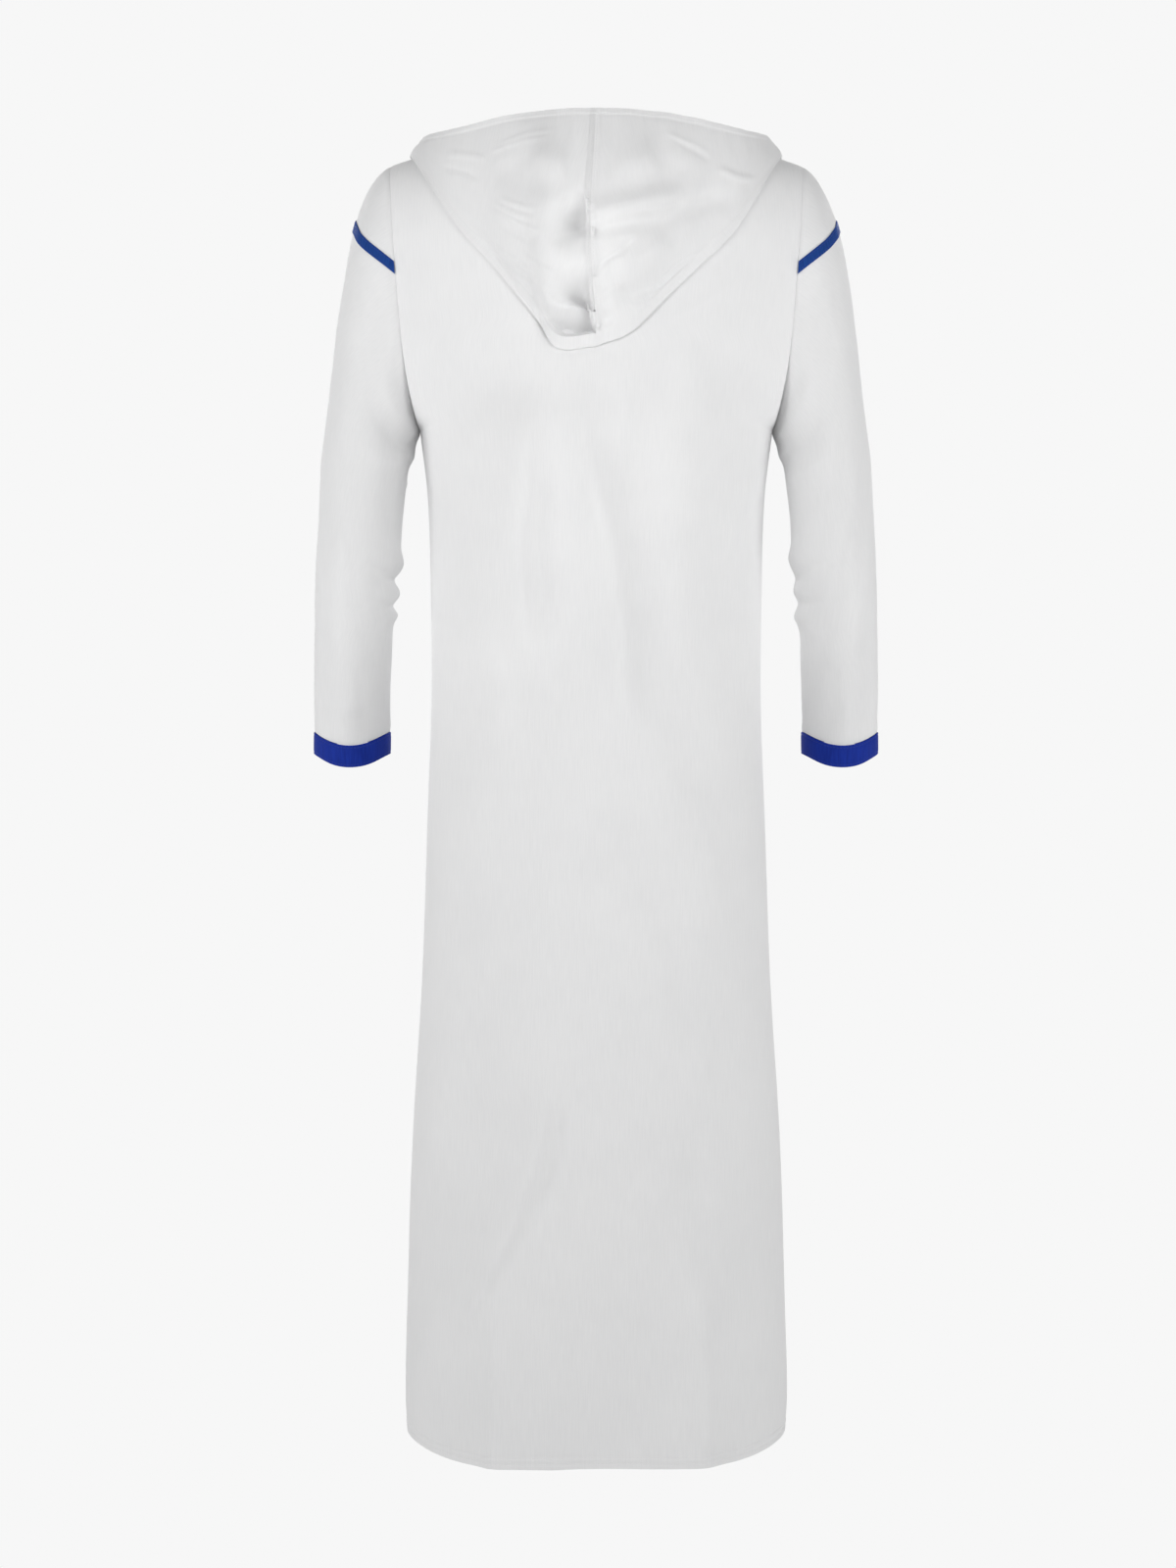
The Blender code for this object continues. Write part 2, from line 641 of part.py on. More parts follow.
def make_tape(name, hand, sleeve, material):
    """A narrow tape laid slantwise over the sleeve cap, from armhole seam to armhole seam."""
    corners = [corner.co for corner in sleeve.data.vertices]
    surface = BVHTree.FromPolygons(corners, [tuple(face.vertices) for face in sleeve.data.polygons])
    grid = []
    turns = [math.radians(blend(-90.0, 90.0, i / TAPE_STATIONS)) for i in range(TAPE_STATIONS + 1)]
    for offset in (-TAPE_WIDTH / 2, 0.0, TAPE_WIDTH / 2):
        grid.append([tape_point(surface, hand, turn, offset) for turn in turns])
    return make_wall(name, grid, TAPE_WALL, material, facing=hand)


# ---------------------------------------------------------------- hood
def neck_point(side, angle):
    """A point on the neckline's edge, on the straight runs between the panel's own columns."""
    quarter = angle if side == BACK else 180.0 - angle
    steps = across_steps()
    place = quarter / 90.0 * NECK_COLUMNS
    index = min(int(place), NECK_COLUMNS - 1)
    first = body_point(side, steps[index], 2.0)
    second = body_point(side, steps[index + 1], 2.0)
    return blend(first, second, place - index)


def rim_point(angle):
    """A point on the hood's free edge, at an angle round the neck from centre back."""
    turn = math.radians(angle)
    x = HOOD_RIM_HALF_WIDTH * math.sin(turn)
    if angle <= 90.0:
        y = HOOD_RIM_BACK * math.cos(turn)
        z = blend(HOOD_RIM_SIDE_HEIGHT, HOOD_RIM_BACK_HEIGHT, math.cos(turn))
    else:
        forward = -math.cos(turn)
        y = -HOOD_RIM_FRONT * forward
        z = blend(HOOD_RIM_SIDE_HEIGHT, HOOD_RIM_FRONT_HEIGHT, forward ** HOOD_RIM_FRONT_POWER)
    return Vector((x, y, z))


def hood_column(hand, angle):
    """The points that one strip of the hood passes: neck seam, turn of the pouch, free edge."""
    side = BACK if angle <= 90.0 else FRONT
    turn = math.radians(angle)
    neck = neck_point(side, angle)
    turn_x = read_table(HOOD_TURN, "angle", "x", angle)
    column = "left_height" if hand == LEFT else "right_height"
    turn_height = read_table(HOOD_TURN, "angle", column, angle)
    neck_across, neck_fall = yoke_place(neck.x, neck.z)
    turn_across, turn_fall = yoke_place(turn_x, turn_height)
    out = Vector((math.sin(turn), math.cos(turn), 0.0))
    clearance = blend(HOOD_BACK_CLEARANCE, HOOD_SHOULDER_CLEARANCE, math.sin(turn) ** 2)

    def under(share, lift):
        across = blend(neck_across, turn_across, share)
        drop = max(blend(neck_fall, turn_fall, share), 0.0)
        return yoke_lifted(side, across, drop, lift)

    rim = rim_point(angle)
    length = (under(1.0, 0.0) - rim).length
    bulge = min(HOOD_BULGE_SHARE * length, HOOD_BULGE)
    low = under(1.0, clearance + HOOD_TURN_RADIUS)
    sideways = math.sin(turn) ** 2
    near = blend(low, rim, blend(HOOD_NEAR_BACK, HOOD_NEAR_SIDE, sideways))
    near += out * HOOD_TURN_RADIUS * blend(1.0, 0.5, sideways)
    lean = Vector((-neck.x, -neck.y, 0.0)) * HOOD_SEAM_LEAN
    start = neck + (Vector((0, 0, 1)) + lean).normalized() * SLANT_GAP
    points = [start, start + Vector((0, 0, HOOD_STAND)) + out * HOOD_STAND_OUT]
    points += [under(station.share, station.lift) for station in HOOD_UNDER]
    points += [under(share, clearance) for share in HOOD_CLOSE_SHARES]
    points += [low, near]
    for share in HOOD_OUTER_SHARES:
        points.append(blend(near, rim, share) + out * bulge * math.sin(math.pi * share))
    points.append(rim)
    return points


def hood_point(hand, angle, place):
    """A point of the hood's outside. Place runs from 0 at the neck seam to 12 at the free edge."""
    point = spline(hood_column(hand, angle), place)
    turn = math.radians(angle)
    out = Vector((math.sin(turn), math.cos(turn), 0.0))
    outer = ease(place - HOOD_TURN_PLACE)
    outer *= ease((HOOD_RIM_PLACE - place) / HOOD_RIM_FADE + HOOD_RIM_FOLD_SHARE)
    behind = ease((HOOD_FOLDS_END - angle) / HOOD_FOLDS_FADE)
    point += out * fold_rise(HOOD_FOLDS, hand * point.x, point.z) * outer * behind
    if place > HOOD_TURN_PLACE and angle < HOOD_GAP_END:
        across, drop = yoke_place(point.x, point.z)
        clear = point.y - yoke_point(BACK, min(across, 1.0), drop).y - HOOD_LAYER_GAP
        push = (math.hypot(clear, HOOD_GAP_SOFTNESS) - clear) / 2
        point.y += push * ease(place - HOOD_TURN_PLACE)
    point.x = hand * (point.x + SEAM_GAP / 2)
    drift = ease(place / HOOD_TURN_PLACE) * ease((HOOD_DRIFT_END - angle) / HOOD_DRIFT_FADE)
    point.x += HOOD_SEAM_DRIFT * drift
    return point


def make_hood_half(name, hand, material):
    """One half of the hood, from the centre seam at the back round to the front."""
    angles = [HOOD_STEP * i for i in range(HOOD_STEPS + 1)]
    angles += [angles[-1] + HOOD_FRONT_STEP * i for i in range(1, HOOD_FRONT_STEPS + 1)]
    places = list(HOOD_UNDER_PLACES)
    for row in range(HOOD_OUTER_ROWS + 1):
        places.append(blend(HOOD_TURN_PLACE, HOOD_RIM_PLACE, row / HOOD_OUTER_ROWS))
    grid = [[hood_point(hand, angle, place) for angle in angles] for place in places]

    def square(_, column, normal):
        if column in (0, len(angles) - 1):
            normal = Vector((0.0, normal.y, normal.z)).normalized()
        return normal

    return make_wall(name, grid, HOOD_WALL, material, square=square, facing=-hand)


# ---------------------------------------------------------------- the garment
def main():
    """Make every piece of the robe."""
    for piece in list(bpy.data.objects):
        bpy.data.objects.remove(piece, do_unlink=True)
    cloth = make_material("white_cloth", CLOTH_COLOUR, CLOTH_ROUGHNESS)
    blue = make_material("blue_cloth", BLUE_COLOUR, BLUE_ROUGHNESS)
    make_panel("back", BACK, BACK_SKIRT_ROWS, cloth)
    make_panel("front", FRONT, FRONT_SKIRT_ROWS, cloth)
    for word, hand, creases in (("left", LEFT, LEFT_ELBOW), ("right", RIGHT, RIGHT_ELBOW)):
        sleeve = make_sleeve("sleeve_" + word, hand, creases, cloth)
        make_cuff("cuff_" + word, hand, blue)
        make_tape("sleeve_tape_" + word, hand, sleeve, blue)
        make_hood_half("hood_" + word, hand, cloth)


main()
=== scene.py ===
"""The looks of a hooded, ankle-length thobe robe that hangs open and filled out, with nobody in it.

Metres, +Z up, but folds are listed in millimetres. The wearer faces -Y, so the back is at +Y and the
wearer's left is at +X. Every cut piece of cloth is a thin shell on the form of its solid, with its own
folds, creases, seams and hems.
"""

import logging
import math
from dataclasses import dataclass
from enum import Enum

import bpy
import numpy as np
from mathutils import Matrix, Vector
from mathutils.bvhtree import BVHTree


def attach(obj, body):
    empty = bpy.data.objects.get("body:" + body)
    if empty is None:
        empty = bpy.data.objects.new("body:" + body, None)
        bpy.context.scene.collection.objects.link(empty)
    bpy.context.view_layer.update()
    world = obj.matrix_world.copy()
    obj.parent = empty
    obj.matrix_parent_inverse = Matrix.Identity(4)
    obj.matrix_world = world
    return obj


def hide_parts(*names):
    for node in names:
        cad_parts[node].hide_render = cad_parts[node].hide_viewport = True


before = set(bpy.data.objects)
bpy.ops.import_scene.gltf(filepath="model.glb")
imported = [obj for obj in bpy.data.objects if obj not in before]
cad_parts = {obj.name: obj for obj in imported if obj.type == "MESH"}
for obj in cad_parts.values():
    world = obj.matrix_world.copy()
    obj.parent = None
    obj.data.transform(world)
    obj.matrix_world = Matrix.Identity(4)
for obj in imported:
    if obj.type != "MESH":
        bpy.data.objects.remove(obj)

LOG = logging.getLogger("thobe_robe")
SEAM_GAP = 0.0001
SLANT_GAP = 1.6 * SEAM_GAP
MILLIMETRES = 1000.0
# Blender's wave texture turns through this many radians in each unit of its scale.
WAVE_RATE = 20.0
SHARP_ANGLE = math.radians(55.0)
TINY = 1e-12
SMALL = 1e-6
Array = np.ndarray
Place = tuple[float, float]
Spot = tuple[float, float, float]
Colour = tuple[float, float, float]
Rows = list[tuple[Array, Array]]
Feed = dict[str | int, object]


class Side(Enum):
    """The two sides of the body, by the sign of their depth."""

    BACK = 1
    FRONT = -1

    @property
    def word(self) -> str:
        """The side's name in a piece's name."""
        return self.name.lower()


class Hand(Enum):
    """The wearer's two hands, by the sign of their place across the body."""

    LEFT = 1
    RIGHT = -1

    @property
    def word(self) -> str:
        """The hand's name in a piece's name."""
        return self.name.lower()


# ---------------------------------------------------------------- small helpers
def blend(start: Array | float, end: Array | float, share: Array | float) -> Array | float:
    """A value or point part of the way from start to end."""
    return start + (end - start) * share


def ease(share: Array | float) -> Array:
    """A share from 0 to 1 that starts and ends gently."""
    share = np.clip(share, 0.0, 1.0)
    return share * share * (3.0 - 2.0 * share)


def bump(distance: Array | float, half_width: float) -> Array:
    """A soft round hump, 1 at its middle."""
    return np.exp(-np.square(distance / half_width))


def units(vectors: Array) -> Array:
    """The vectors at length 1."""
    return vectors / np.maximum(np.linalg.norm(vectors, axis=-1, keepdims=True), TINY)


def points(x: Array, y: Array, z: Array) -> Array:
    """An array of points from their coordinates."""
    return np.stack(np.broadcast_arrays(x, y, z), axis=-1).astype(float)


def hermite(start: Array, end: Array, leaving: Array, arriving: Array, t: Array) -> Array:
    """A cubic curve's value from its ends and its slopes there."""
    return (start * (2 * t ** 3 - 3 * t ** 2 + 1) + leaving * (t ** 3 - 2 * t ** 2 + t)
            + end * (3 * t ** 2 - 2 * t ** 3) + arriving * (t ** 3 - t ** 2))


def through(keys: tuple[float, ...], values: tuple[float, ...], at: Array | float) -> Array:
    """Read a smooth curve through a short table.

    Args:
        keys: where each value stands, rising or falling.
        values: the value at each key.
        at: where to read the curve. Places beyond the table get its end values.

    Returns:
        The curve's value at each place.
    """
    order = np.argsort(keys)
    k = np.array(keys)[order]
    v = np.array(values)[order]
    at = np.clip(np.asarray(at, dtype=float), k[0], k[-1])
    i = np.clip(np.searchsorted(k, at, side="right") - 1, 0, len(k) - 2)
    low = np.maximum(np.arange(len(k)) - 1, 0)
    high = np.minimum(np.arange(len(k)) + 1, len(k) - 1)
    slope = (v[high] - v[low]) / (k[high] - k[low])
    span = k[i + 1] - k[i]
    return hermite(v[i], v[i + 1], slope[i] * span, slope[i + 1] * span, (at - k[i]) / span)


def read(table: tuple, key: str, field: str, at: Array | float) -> Array:
    """One field of a table's rows as a smooth curve over another of their fields."""
    return through(tuple(getattr(row, key) for row in table), tuple(getattr(row, field) for row in table), at)


def run_of(line: Array, axis: int = 0) -> Array:
    """Measure along a line's points, or along one axis of a grid of points.

    Args:
        line: the points, with their coordinates last.
        axis: the axis to go along.

    Returns:
        The distance of each point from the first.
    """
    run = np.cumsum(np.linalg.norm(np.diff(line, axis=axis), axis=-1), axis=axis)
    return np.concatenate([np.zeros_like(run.take([0], axis=axis)), run], axis=axis)


def read_line(run: Array, vectors: Array, at: Array) -> Array:
    """Read vectors off a line at distances along it."""
    return np.stack([np.interp(at, run, vectors[:, i]) for i in range(3)], axis=-1)


def link(name: str, data: bpy.types.ID) -> bpy.types.Object:
    """Put new data in the scene as an object at the origin.

    Args:
        name: the object's name.
        data: its mesh, lamp or camera.

    Returns:
        The object.
    """
    thing = bpy.data.objects.new(name, data)
    bpy.context.scene.collection.objects.link(thing)
    return thing


def strand(controls: Array, places: Array) -> Array:
    """Follow a smooth curve through the points of each column.

    Args:
        controls: the points of every column, as columns, points, 3.
        places: places along the curve, where 2.5 is halfway from the third point to the fourth.

    Returns:
        The points, as places, columns, 3.
    """
    steps = np.diff(controls, axis=1)
    lengths = np.linalg.norm(steps, axis=-1, keepdims=True)
    ways = steps / lengths
    headings = np.empty_like(controls)
    headings[:, 0] = ways[:, 0]
    headings[:, -1] = ways[:, -1]
    headings[:, 1:-1] = ((ways[:, :-1] * lengths[:, 1:] + ways[:, 1:] * lengths[:, :-1])
                         / (lengths[:, :-1] + lengths[:, 1:]))
    index = np.minimum(places.astype(int), controls.shape[1] - 2)
    t = (places - index)[None, :, None]
    leaving = headings[:, index] * lengths[:, index]
    arriving = headings[:, index + 1] * lengths[:, index]
    curve = hermite(controls[:, index], controls[:, index + 1], leaving, arriving, t)
    return curve.transpose(1, 0, 2)


# ---------------------------------------------------------------- folds
@dataclass(frozen=True)
class Fold:
    """A soft ridge, or a trough where its rise is below 0, along a path of (x, z) places.

    Left and right are its half widths to the two sides, seen along the path. Fade in and fade out
    are the shares of its length over which it grows and dies away. Reach is how many half widths off
    it is still felt.
    """

    path: tuple[Place, ...]
    rise: float
    left: float
    right: float
    fade_in: float = 0.25
    fade_out: float = 0.25
    steps_per_leg: int = 6
    reach: float = 3.0

    def line(self) -> Array:
        """Step finely along the path.

        Returns:
            The points of the smooth line.
        """
        corners = np.array(self.path, dtype=float)
        if len(corners) == 2:
            return corners
        keys = np.arange(len(corners), dtype=float)
        at = np.linspace(0.0, keys[-1], self.steps_per_leg * (len(corners) - 1) + 1)
        return np.stack([through(tuple(keys), tuple(corners[:, i]), at) for i in (0, 1)], axis=-1)

    def lift(self, x: Array, z: Array) -> Array:
        """How far this fold lifts the cloth at each place.

        Args:
            x: places across the body.
            z: heights.

        Returns:
            The lift at each place, in metres.
        """
        line = self.line()
        steps = np.diff(line, axis=0)
        lengths = np.hypot(steps[:, 0], steps[:, 1])
        run = np.concatenate([[0.0], np.cumsum(lengths)])
        reach = self.reach * max(self.left, self.right)
        near = ((x > line[:, 0].min() - reach) & (x < line[:, 0].max() + reach)
                & (z > line[:, 1].min() - reach) & (z < line[:, 1].max() + reach))
        px, pz = x[near], z[near]
        best = np.full(px.shape, np.inf)
        share = np.zeros(px.shape)
        turn = np.zeros(px.shape)
        for corner, step, length, start in zip(line, steps, lengths, run):
            t = np.clip(((px - corner[0]) * step[0] + (pz - corner[1]) * step[1]) / length ** 2, 0.0, 1.0)
            ox = px - corner[0] - t * step[0]
            oz = pz - corner[1] - t * step[1]
            off = np.hypot(ox, oz)
            closer = off < best
            best = np.where(closer, off, best)
            share = np.where(closer, (start + t * length) / run[-1], share)
            turn = np.where(closer, step[0] * oz - step[1] * ox, turn)
        width = np.where(turn > 0.0, self.left, self.right)
        fade = ease(share / self.fade_in) * ease((1.0 - share) / self.fade_out)
        total = np.zeros(x.shape)
        total[near] = self.rise * bump(best, width) * fade
        return total


def fold(rise: float, left: float, right: float, *path: Place, fades: Place = (0.25, 0.25)) -> Fold:
    """A fold from its rise, half widths and places in millimetres."""
    places = tuple((x / MILLIMETRES, z / MILLIMETRES) for x, z in path)
    return Fold(places, rise / MILLIMETRES, left / MILLIMETRES, right / MILLIMETRES, *fades)


def lift_all(folds: tuple[Fold, ...], x: Array, z: Array) -> Array:
    """Add up the lift of several folds.

    Args:
        folds: the folds.
        x: places across.
        z: heights.

    Returns:
        How far they lift the cloth at each place, in metres.
    """
    return sum((each.lift(x, z) for each in folds), np.zeros(np.broadcast(x, z).shape))


@dataclass(frozen=True)
class Slack:
    """The faint unevenness of hanging cloth: many long shallow waves that run mostly downwards."""

    seed: int
    height: float = 0.00035
    waves: int = 26
    shortest: float = 0.022
    longest: float = 0.085
    stretch: float = 4.5
    phase_step: float = 2.3

    def lift(self, across: Array, along: Array) -> Array:
        """How far the cloth is off its form.

        Args:
            across: places across the cloth.
            along: places along it.

        Returns:
            The lift at each place, in metres.
        """
        rng = np.random.default_rng(self.seed)
        total = np.zeros(np.broadcast(across, along).shape)
        for _ in range(self.waves):
            length = rng.uniform(self.shortest, self.longest)
            lean = rng.uniform(-1.0, 1.0) / self.stretch
            phase = rng.uniform(0.0, 2.0 * math.pi)
            turn = 2.0 * math.pi / length
            slow = 2.0 * math.pi / (length * self.stretch)
            total += (length * np.sin(turn * (across + lean * along) + phase)
                      * np.sin(slow * along + self.phase_step * phase))
        return total * self.height / (self.longest * math.sqrt(self.waves) / 4.0)


# ---------------------------------------------------------------- cloth
@dataclass
class Sheet:
    """A cut piece of cloth, as a grid of points on its outer face.

    Facing is -1 where the grid's own normals point to the inside. Walls are the directions out of
    the cloth, set where a seam turns them so that the pieces on both sides of it stay apart.
    """

    name: str
    grid: Array
    thickness: float
    closed: bool = False
    facing: float = 1.0
    walls: Array | None = None

    def normals(self) -> Array:
        """Find the grid's outward normals.

        Returns:
            The normal at each point.
        """
        if self.closed:
            across = np.roll(self.grid, -1, axis=1) - np.roll(self.grid, 1, axis=1)
        else:
            across = np.gradient(self.grid, axis=1)
        return units(np.cross(across, np.gradient(self.grid, axis=0))) * self.facing

    def lay_out(self) -> Array:
        """Lay the grid out flat.

        Returns:
            The place of each point on the flat cloth, in metres across and along.
        """
        grid = self.grid
        if self.closed:
            grid = np.concatenate([grid, grid[:, :1]], axis=1)
        across = run_of(grid, axis=1)
        middle = grid.shape[1] // 2
        return np.stack([across - across[:, middle:middle + 1], run_of(grid)], axis=-1)

    def build(self, material: bpy.types.Material) -> bpy.types.Object:
        """Make the piece as a thin closed shell.

        Args:
            material: the cloth's finish.

        Returns:
            The new object, at the origin.
        """
        rows, columns = self.grid.shape[:2]
        outward = self.normals() if self.walls is None else units(self.walls)
        inner = self.grid - outward * self.thickness
        spans = columns if self.closed else columns - 1
        r, c = (a.ravel() for a in np.mgrid[0:rows - 1, 0:spans])
        ends = np.arange(spans)
        low, high = np.zeros(spans, dtype=int), np.full(spans, rows - 1)
        faces = [
            ((r, c, 0), (r, c + 1, 0), (r + 1, c + 1, 0), (r + 1, c, 0)),
            ((r + 1, c, 1), (r + 1, c + 1, 1), (r, c + 1, 1), (r, c, 1)),
            ((low, ends + 1, 0), (low, ends, 0), (low, ends, 1), (low, ends + 1, 1)),
            ((high, ends, 0), (high, ends + 1, 0), (high, ends + 1, 1), (high, ends, 1)),
        ]
        if not self.closed:
            s = np.arange(rows - 1)
            first, last = np.zeros(rows - 1, dtype=int), np.full(rows - 1, spans)
            faces.append(((s, first, 0), (s + 1, first, 0), (s + 1, first, 1), (s, first, 1)))
            faces.append(((s + 1, last, 0), (s, last, 0), (s, last, 1), (s + 1, last, 1)))
        flat = self.lay_out()
        corners, places = [], []
        for face in faces:
            corners.append(np.stack([q[0] * columns + q[1] % columns + q[2] * rows * columns
                                     for q in face], axis=-1))
            places.append(np.stack([flat[q[0], q[1]] for q in face], axis=1))
        corner, place = np.concatenate(corners), np.concatenate(places)
        if self.facing < 0:
            corner, place = corner[:, ::-1], place[:, ::-1]
        mesh = bpy.data.meshes.new(self.name)
        both = np.concatenate([self.grid.reshape(-1, 3), inner.reshape(-1, 3)])
        mesh.from_pydata(both.tolist(), [], corner.tolist())
        layer = mesh.uv_layers.new(name="cloth")
        layer.data.foreach_set("uv", np.ascontiguousarray(place).ravel())
        mesh.shade_smooth()
        mesh.set_sharp_from_angle(angle=SHARP_ANGLE)
        mesh.materials.append(material)
        mesh.validate()
        return link(self.name, mesh)


# ---------------------------------------------------------------- stitches
@dataclass(frozen=True)
class Thread:
    """Sewing thread, and the stitches it makes."""

    pitch: float = 0.0034
    length: float = 0.0025
    width: float = 0.00060
    height: float = 0.00050

    def model(self) -> tuple[Array, list[list[int]]]:
        """Model one stitch, a small bead drawn out along X.

        Returns:
            Its points and its faces, in an order that is the same in each run.
        """
        bpy.ops.object.select_all(action="DESELECT")
        bpy.ops.mesh.primitive_uv_sphere_add(segments=6, ring_count=4, radius=0.5)
        bead = bpy.context.active_object
        bpy.ops.object.mode_set(mode="EDIT")
        bpy.ops.mesh.select_all(action="SELECT")
        bpy.ops.transform.resize(value=(self.width, self.height, self.length))
        bpy.ops.object.mode_set(mode="OBJECT")
        shape = np.array([list(v.co) for v in bead.data.vertices])[:, [2, 0, 1]]
        order = np.lexsort(np.round(shape, decimals=7).T)
        place = np.argsort(order).tolist()
        faces = [[place[i] for i in p.vertices] for p in bead.data.polygons]
        starts = [face.index(min(face)) for face in faces]
        mesh = bead.data
        bpy.data.objects.remove(bead, do_unlink=True)
        bpy.data.meshes.remove(mesh)
        return shape[order], sorted(face[start:] + face[:start] for face, start in zip(faces, starts))

    def sew(self, name: str, rows: Rows, material: bpy.types.Material) -> bpy.types.Object:
        """Lay stitches along lines of the cloth.

        Args:
            name: the new piece's name.
            rows: for each row of stitches, its line's points and the cloth's normals there.
            material: the thread's finish.

        Returns:
            One object with all the stitches.
        """
        shape, faces = self.model()
        corners, polygons = [], []
        for line, normals in rows:
            run = run_of(line)
            at = np.arange(self.pitch / 2, run[-1], self.pitch)
            half = self.length / 2
            way = units(read_line(run, line, at + half) - read_line(run, line, at - half))
            aside = units(np.cross(units(read_line(run, normals, at)), way))
            for spot, x, y, z in zip(read_line(run, line, at), way, aside, np.cross(way, aside)):
                start = len(corners) * len(shape)
                corners.append(spot + shape[:, :1] * x + shape[:, 1:2] * y + shape[:, 2:] * z)
                polygons += [[start + i for i in face] for face in faces]
        mesh = bpy.data.meshes.new(name)
        mesh.from_pydata(np.concatenate(corners).tolist(), [], polygons)
        mesh.shade_smooth()
        mesh.materials.append(material)
        return link(name, mesh)


# ---------------------------------------------------------------- finishes
class Nodes:
    """The node tree of a material or a world, with short ways to add its nodes and to feed them."""

    def __init__(self, owner: bpy.types.Material | bpy.types.World, shader: str = "Principled BSDF") -> None:
        """Take over a new tree.

        Args:
            owner: the material or world that the tree belongs to.
            shader: the name of the shader that it starts with.
        """
        owner.use_nodes = True
        self.owner = owner
        self.shader = owner.node_tree.nodes[shader]

    def add(self, kind: str, sockets: Feed | None = None, **fields: object) -> bpy.types.Node:
        """Add a node.

        Args:
            kind: the node's type.
            sockets: what its input sockets are fed.
            fields: the node's own settings.

        Returns:
            The new node.
        """
        node = self.owner.node_tree.nodes.new(kind)
        for key, value in fields.items():
            setattr(node, key, value)
        self.feed(node, sockets or {})
        return node

    def feed(self, node: bpy.types.Node, sockets: Feed) -> None:
        """Feed a node's input sockets.

        Args:
            node: the node.
            sockets: each input's value, or the output socket that it is joined to.
        """
        for key, value in sockets.items():
            if isinstance(value, bpy.types.NodeSocket):
                self.owner.node_tree.links.new(value, node.inputs[key])
            else:
                node.inputs[key].default_value = value

    def ramp(self, factor: bpy.types.NodeSocket, *stops: tuple[float, Colour]) -> bpy.types.NodeSocket:
        """Add a colour ramp of two stops.

        Args:
            factor: what it reads.
            stops: the place and colour of each stop.

        Returns:
            Its colour output.
        """
        node = self.add("ShaderNodeValToRGB", {"Fac": factor})
        for stop, (place, colour) in zip(node.color_ramp.elements, stops):
            stop.position = place
            stop.color = (*colour, 1.0)
        return node.outputs["Color"]


@dataclass(frozen=True)
class ClothFinish:
    """A woven cloth: its colours, its weave and the small wrinkles in it."""

    name: str
    slot: str
    light: Colour
    deep: Colour
    weave_pitch: float
    weave_height: float
    wrinkle_height: float
    roughness: tuple[float, float]
    sheen: float
    sheen_tint: Colour
    gloss: float = 0.25
    wrinkle_scale: Spot = (26.0, 7.0, 1.0)
    slub_scale: Spot = (900.0, 40.0, 1.0)
    cloud_scale: float = 7.0
    tone_stops: Place = (0.38, 0.60)
    sheen_roughness: float = 0.45

    def make(self) -> bpy.types.Material:
        """Make the material, on the piece's own flat-cloth map.

        Returns:
            The material.
        """
        nodes = Nodes(bpy.data.materials.new(self.name))
        cloth = nodes.add("ShaderNodeUVMap", uv_map="cloth").outputs["UV"]

        def noise(place: bpy.types.NodeSocket, scale: float, **sockets: float) -> bpy.types.NodeSocket:
            """Noise at a scale, on places of the cloth."""
            sockets = {"Vector": place, "Scale": scale} | sockets
            return nodes.add("ShaderNodeTexNoise", sockets).outputs["Fac"]

        def stretch(scale: Spot) -> bpy.types.NodeSocket:
            """The places of the cloth, scaled unevenly."""
            return nodes.add("ShaderNodeMapping", {"Vector": cloth, "Scale": scale}).outputs["Vector"]

        def maths(operation: str, first: object, second: object) -> bpy.types.NodeSocket:
            """The result of an operation on two values."""
            return nodes.add("ShaderNodeMath", {0: first, 1: second}, operation=operation).outputs["Value"]

        scale = 2.0 * math.pi / (WAVE_RATE * self.weave_pitch)
        wave = {"Vector": cloth, "Scale": scale, "Distortion": 0.6, "Detail": 1.0, "Detail Scale": 0.05}
        warp, weft = (nodes.add("ShaderNodeTexWave", wave, bands_direction=way).outputs["Fac"]
                      for way in ("X", "Y"))
        wrinkle = noise(stretch(self.wrinkle_scale), 1.0, Detail=4.0, Roughness=0.55, Distortion=0.4)
        slub = noise(stretch(self.slub_scale), 1.0, Detail=2.0)
        cloud = noise(cloth, self.cloud_scale, Detail=3.0, Roughness=0.6)
        mottle = maths("MULTIPLY", maths("ADD", slub, cloud), 0.5)
        low, high = self.roughness
        rough = nodes.add("ShaderNodeMapRange", {"Value": cloud, "To Min": low, "To Max": high})
        creased = nodes.add("ShaderNodeBump", {
            "Height": wrinkle, "Strength": 1.0, "Distance": self.wrinkle_height}).outputs["Normal"]
        woven = nodes.add("ShaderNodeBump", {
            "Height": maths("MULTIPLY", warp, weft), "Strength": 1.0, "Distance": self.weave_height,
            "Normal": creased}).outputs["Normal"]
        nodes.feed(nodes.shader, {
            "Base Color": nodes.ramp(mottle, *zip(self.tone_stops, (self.deep, self.light))),
            "Roughness": rough.outputs["Result"],
            "Normal": woven,
            "Specular IOR Level": self.gloss,
            "Sheen Weight": self.sheen,
            "Sheen Roughness": self.sheen_roughness,
            "Sheen Tint": (*self.sheen_tint, 1.0),
        })
        return nodes.owner


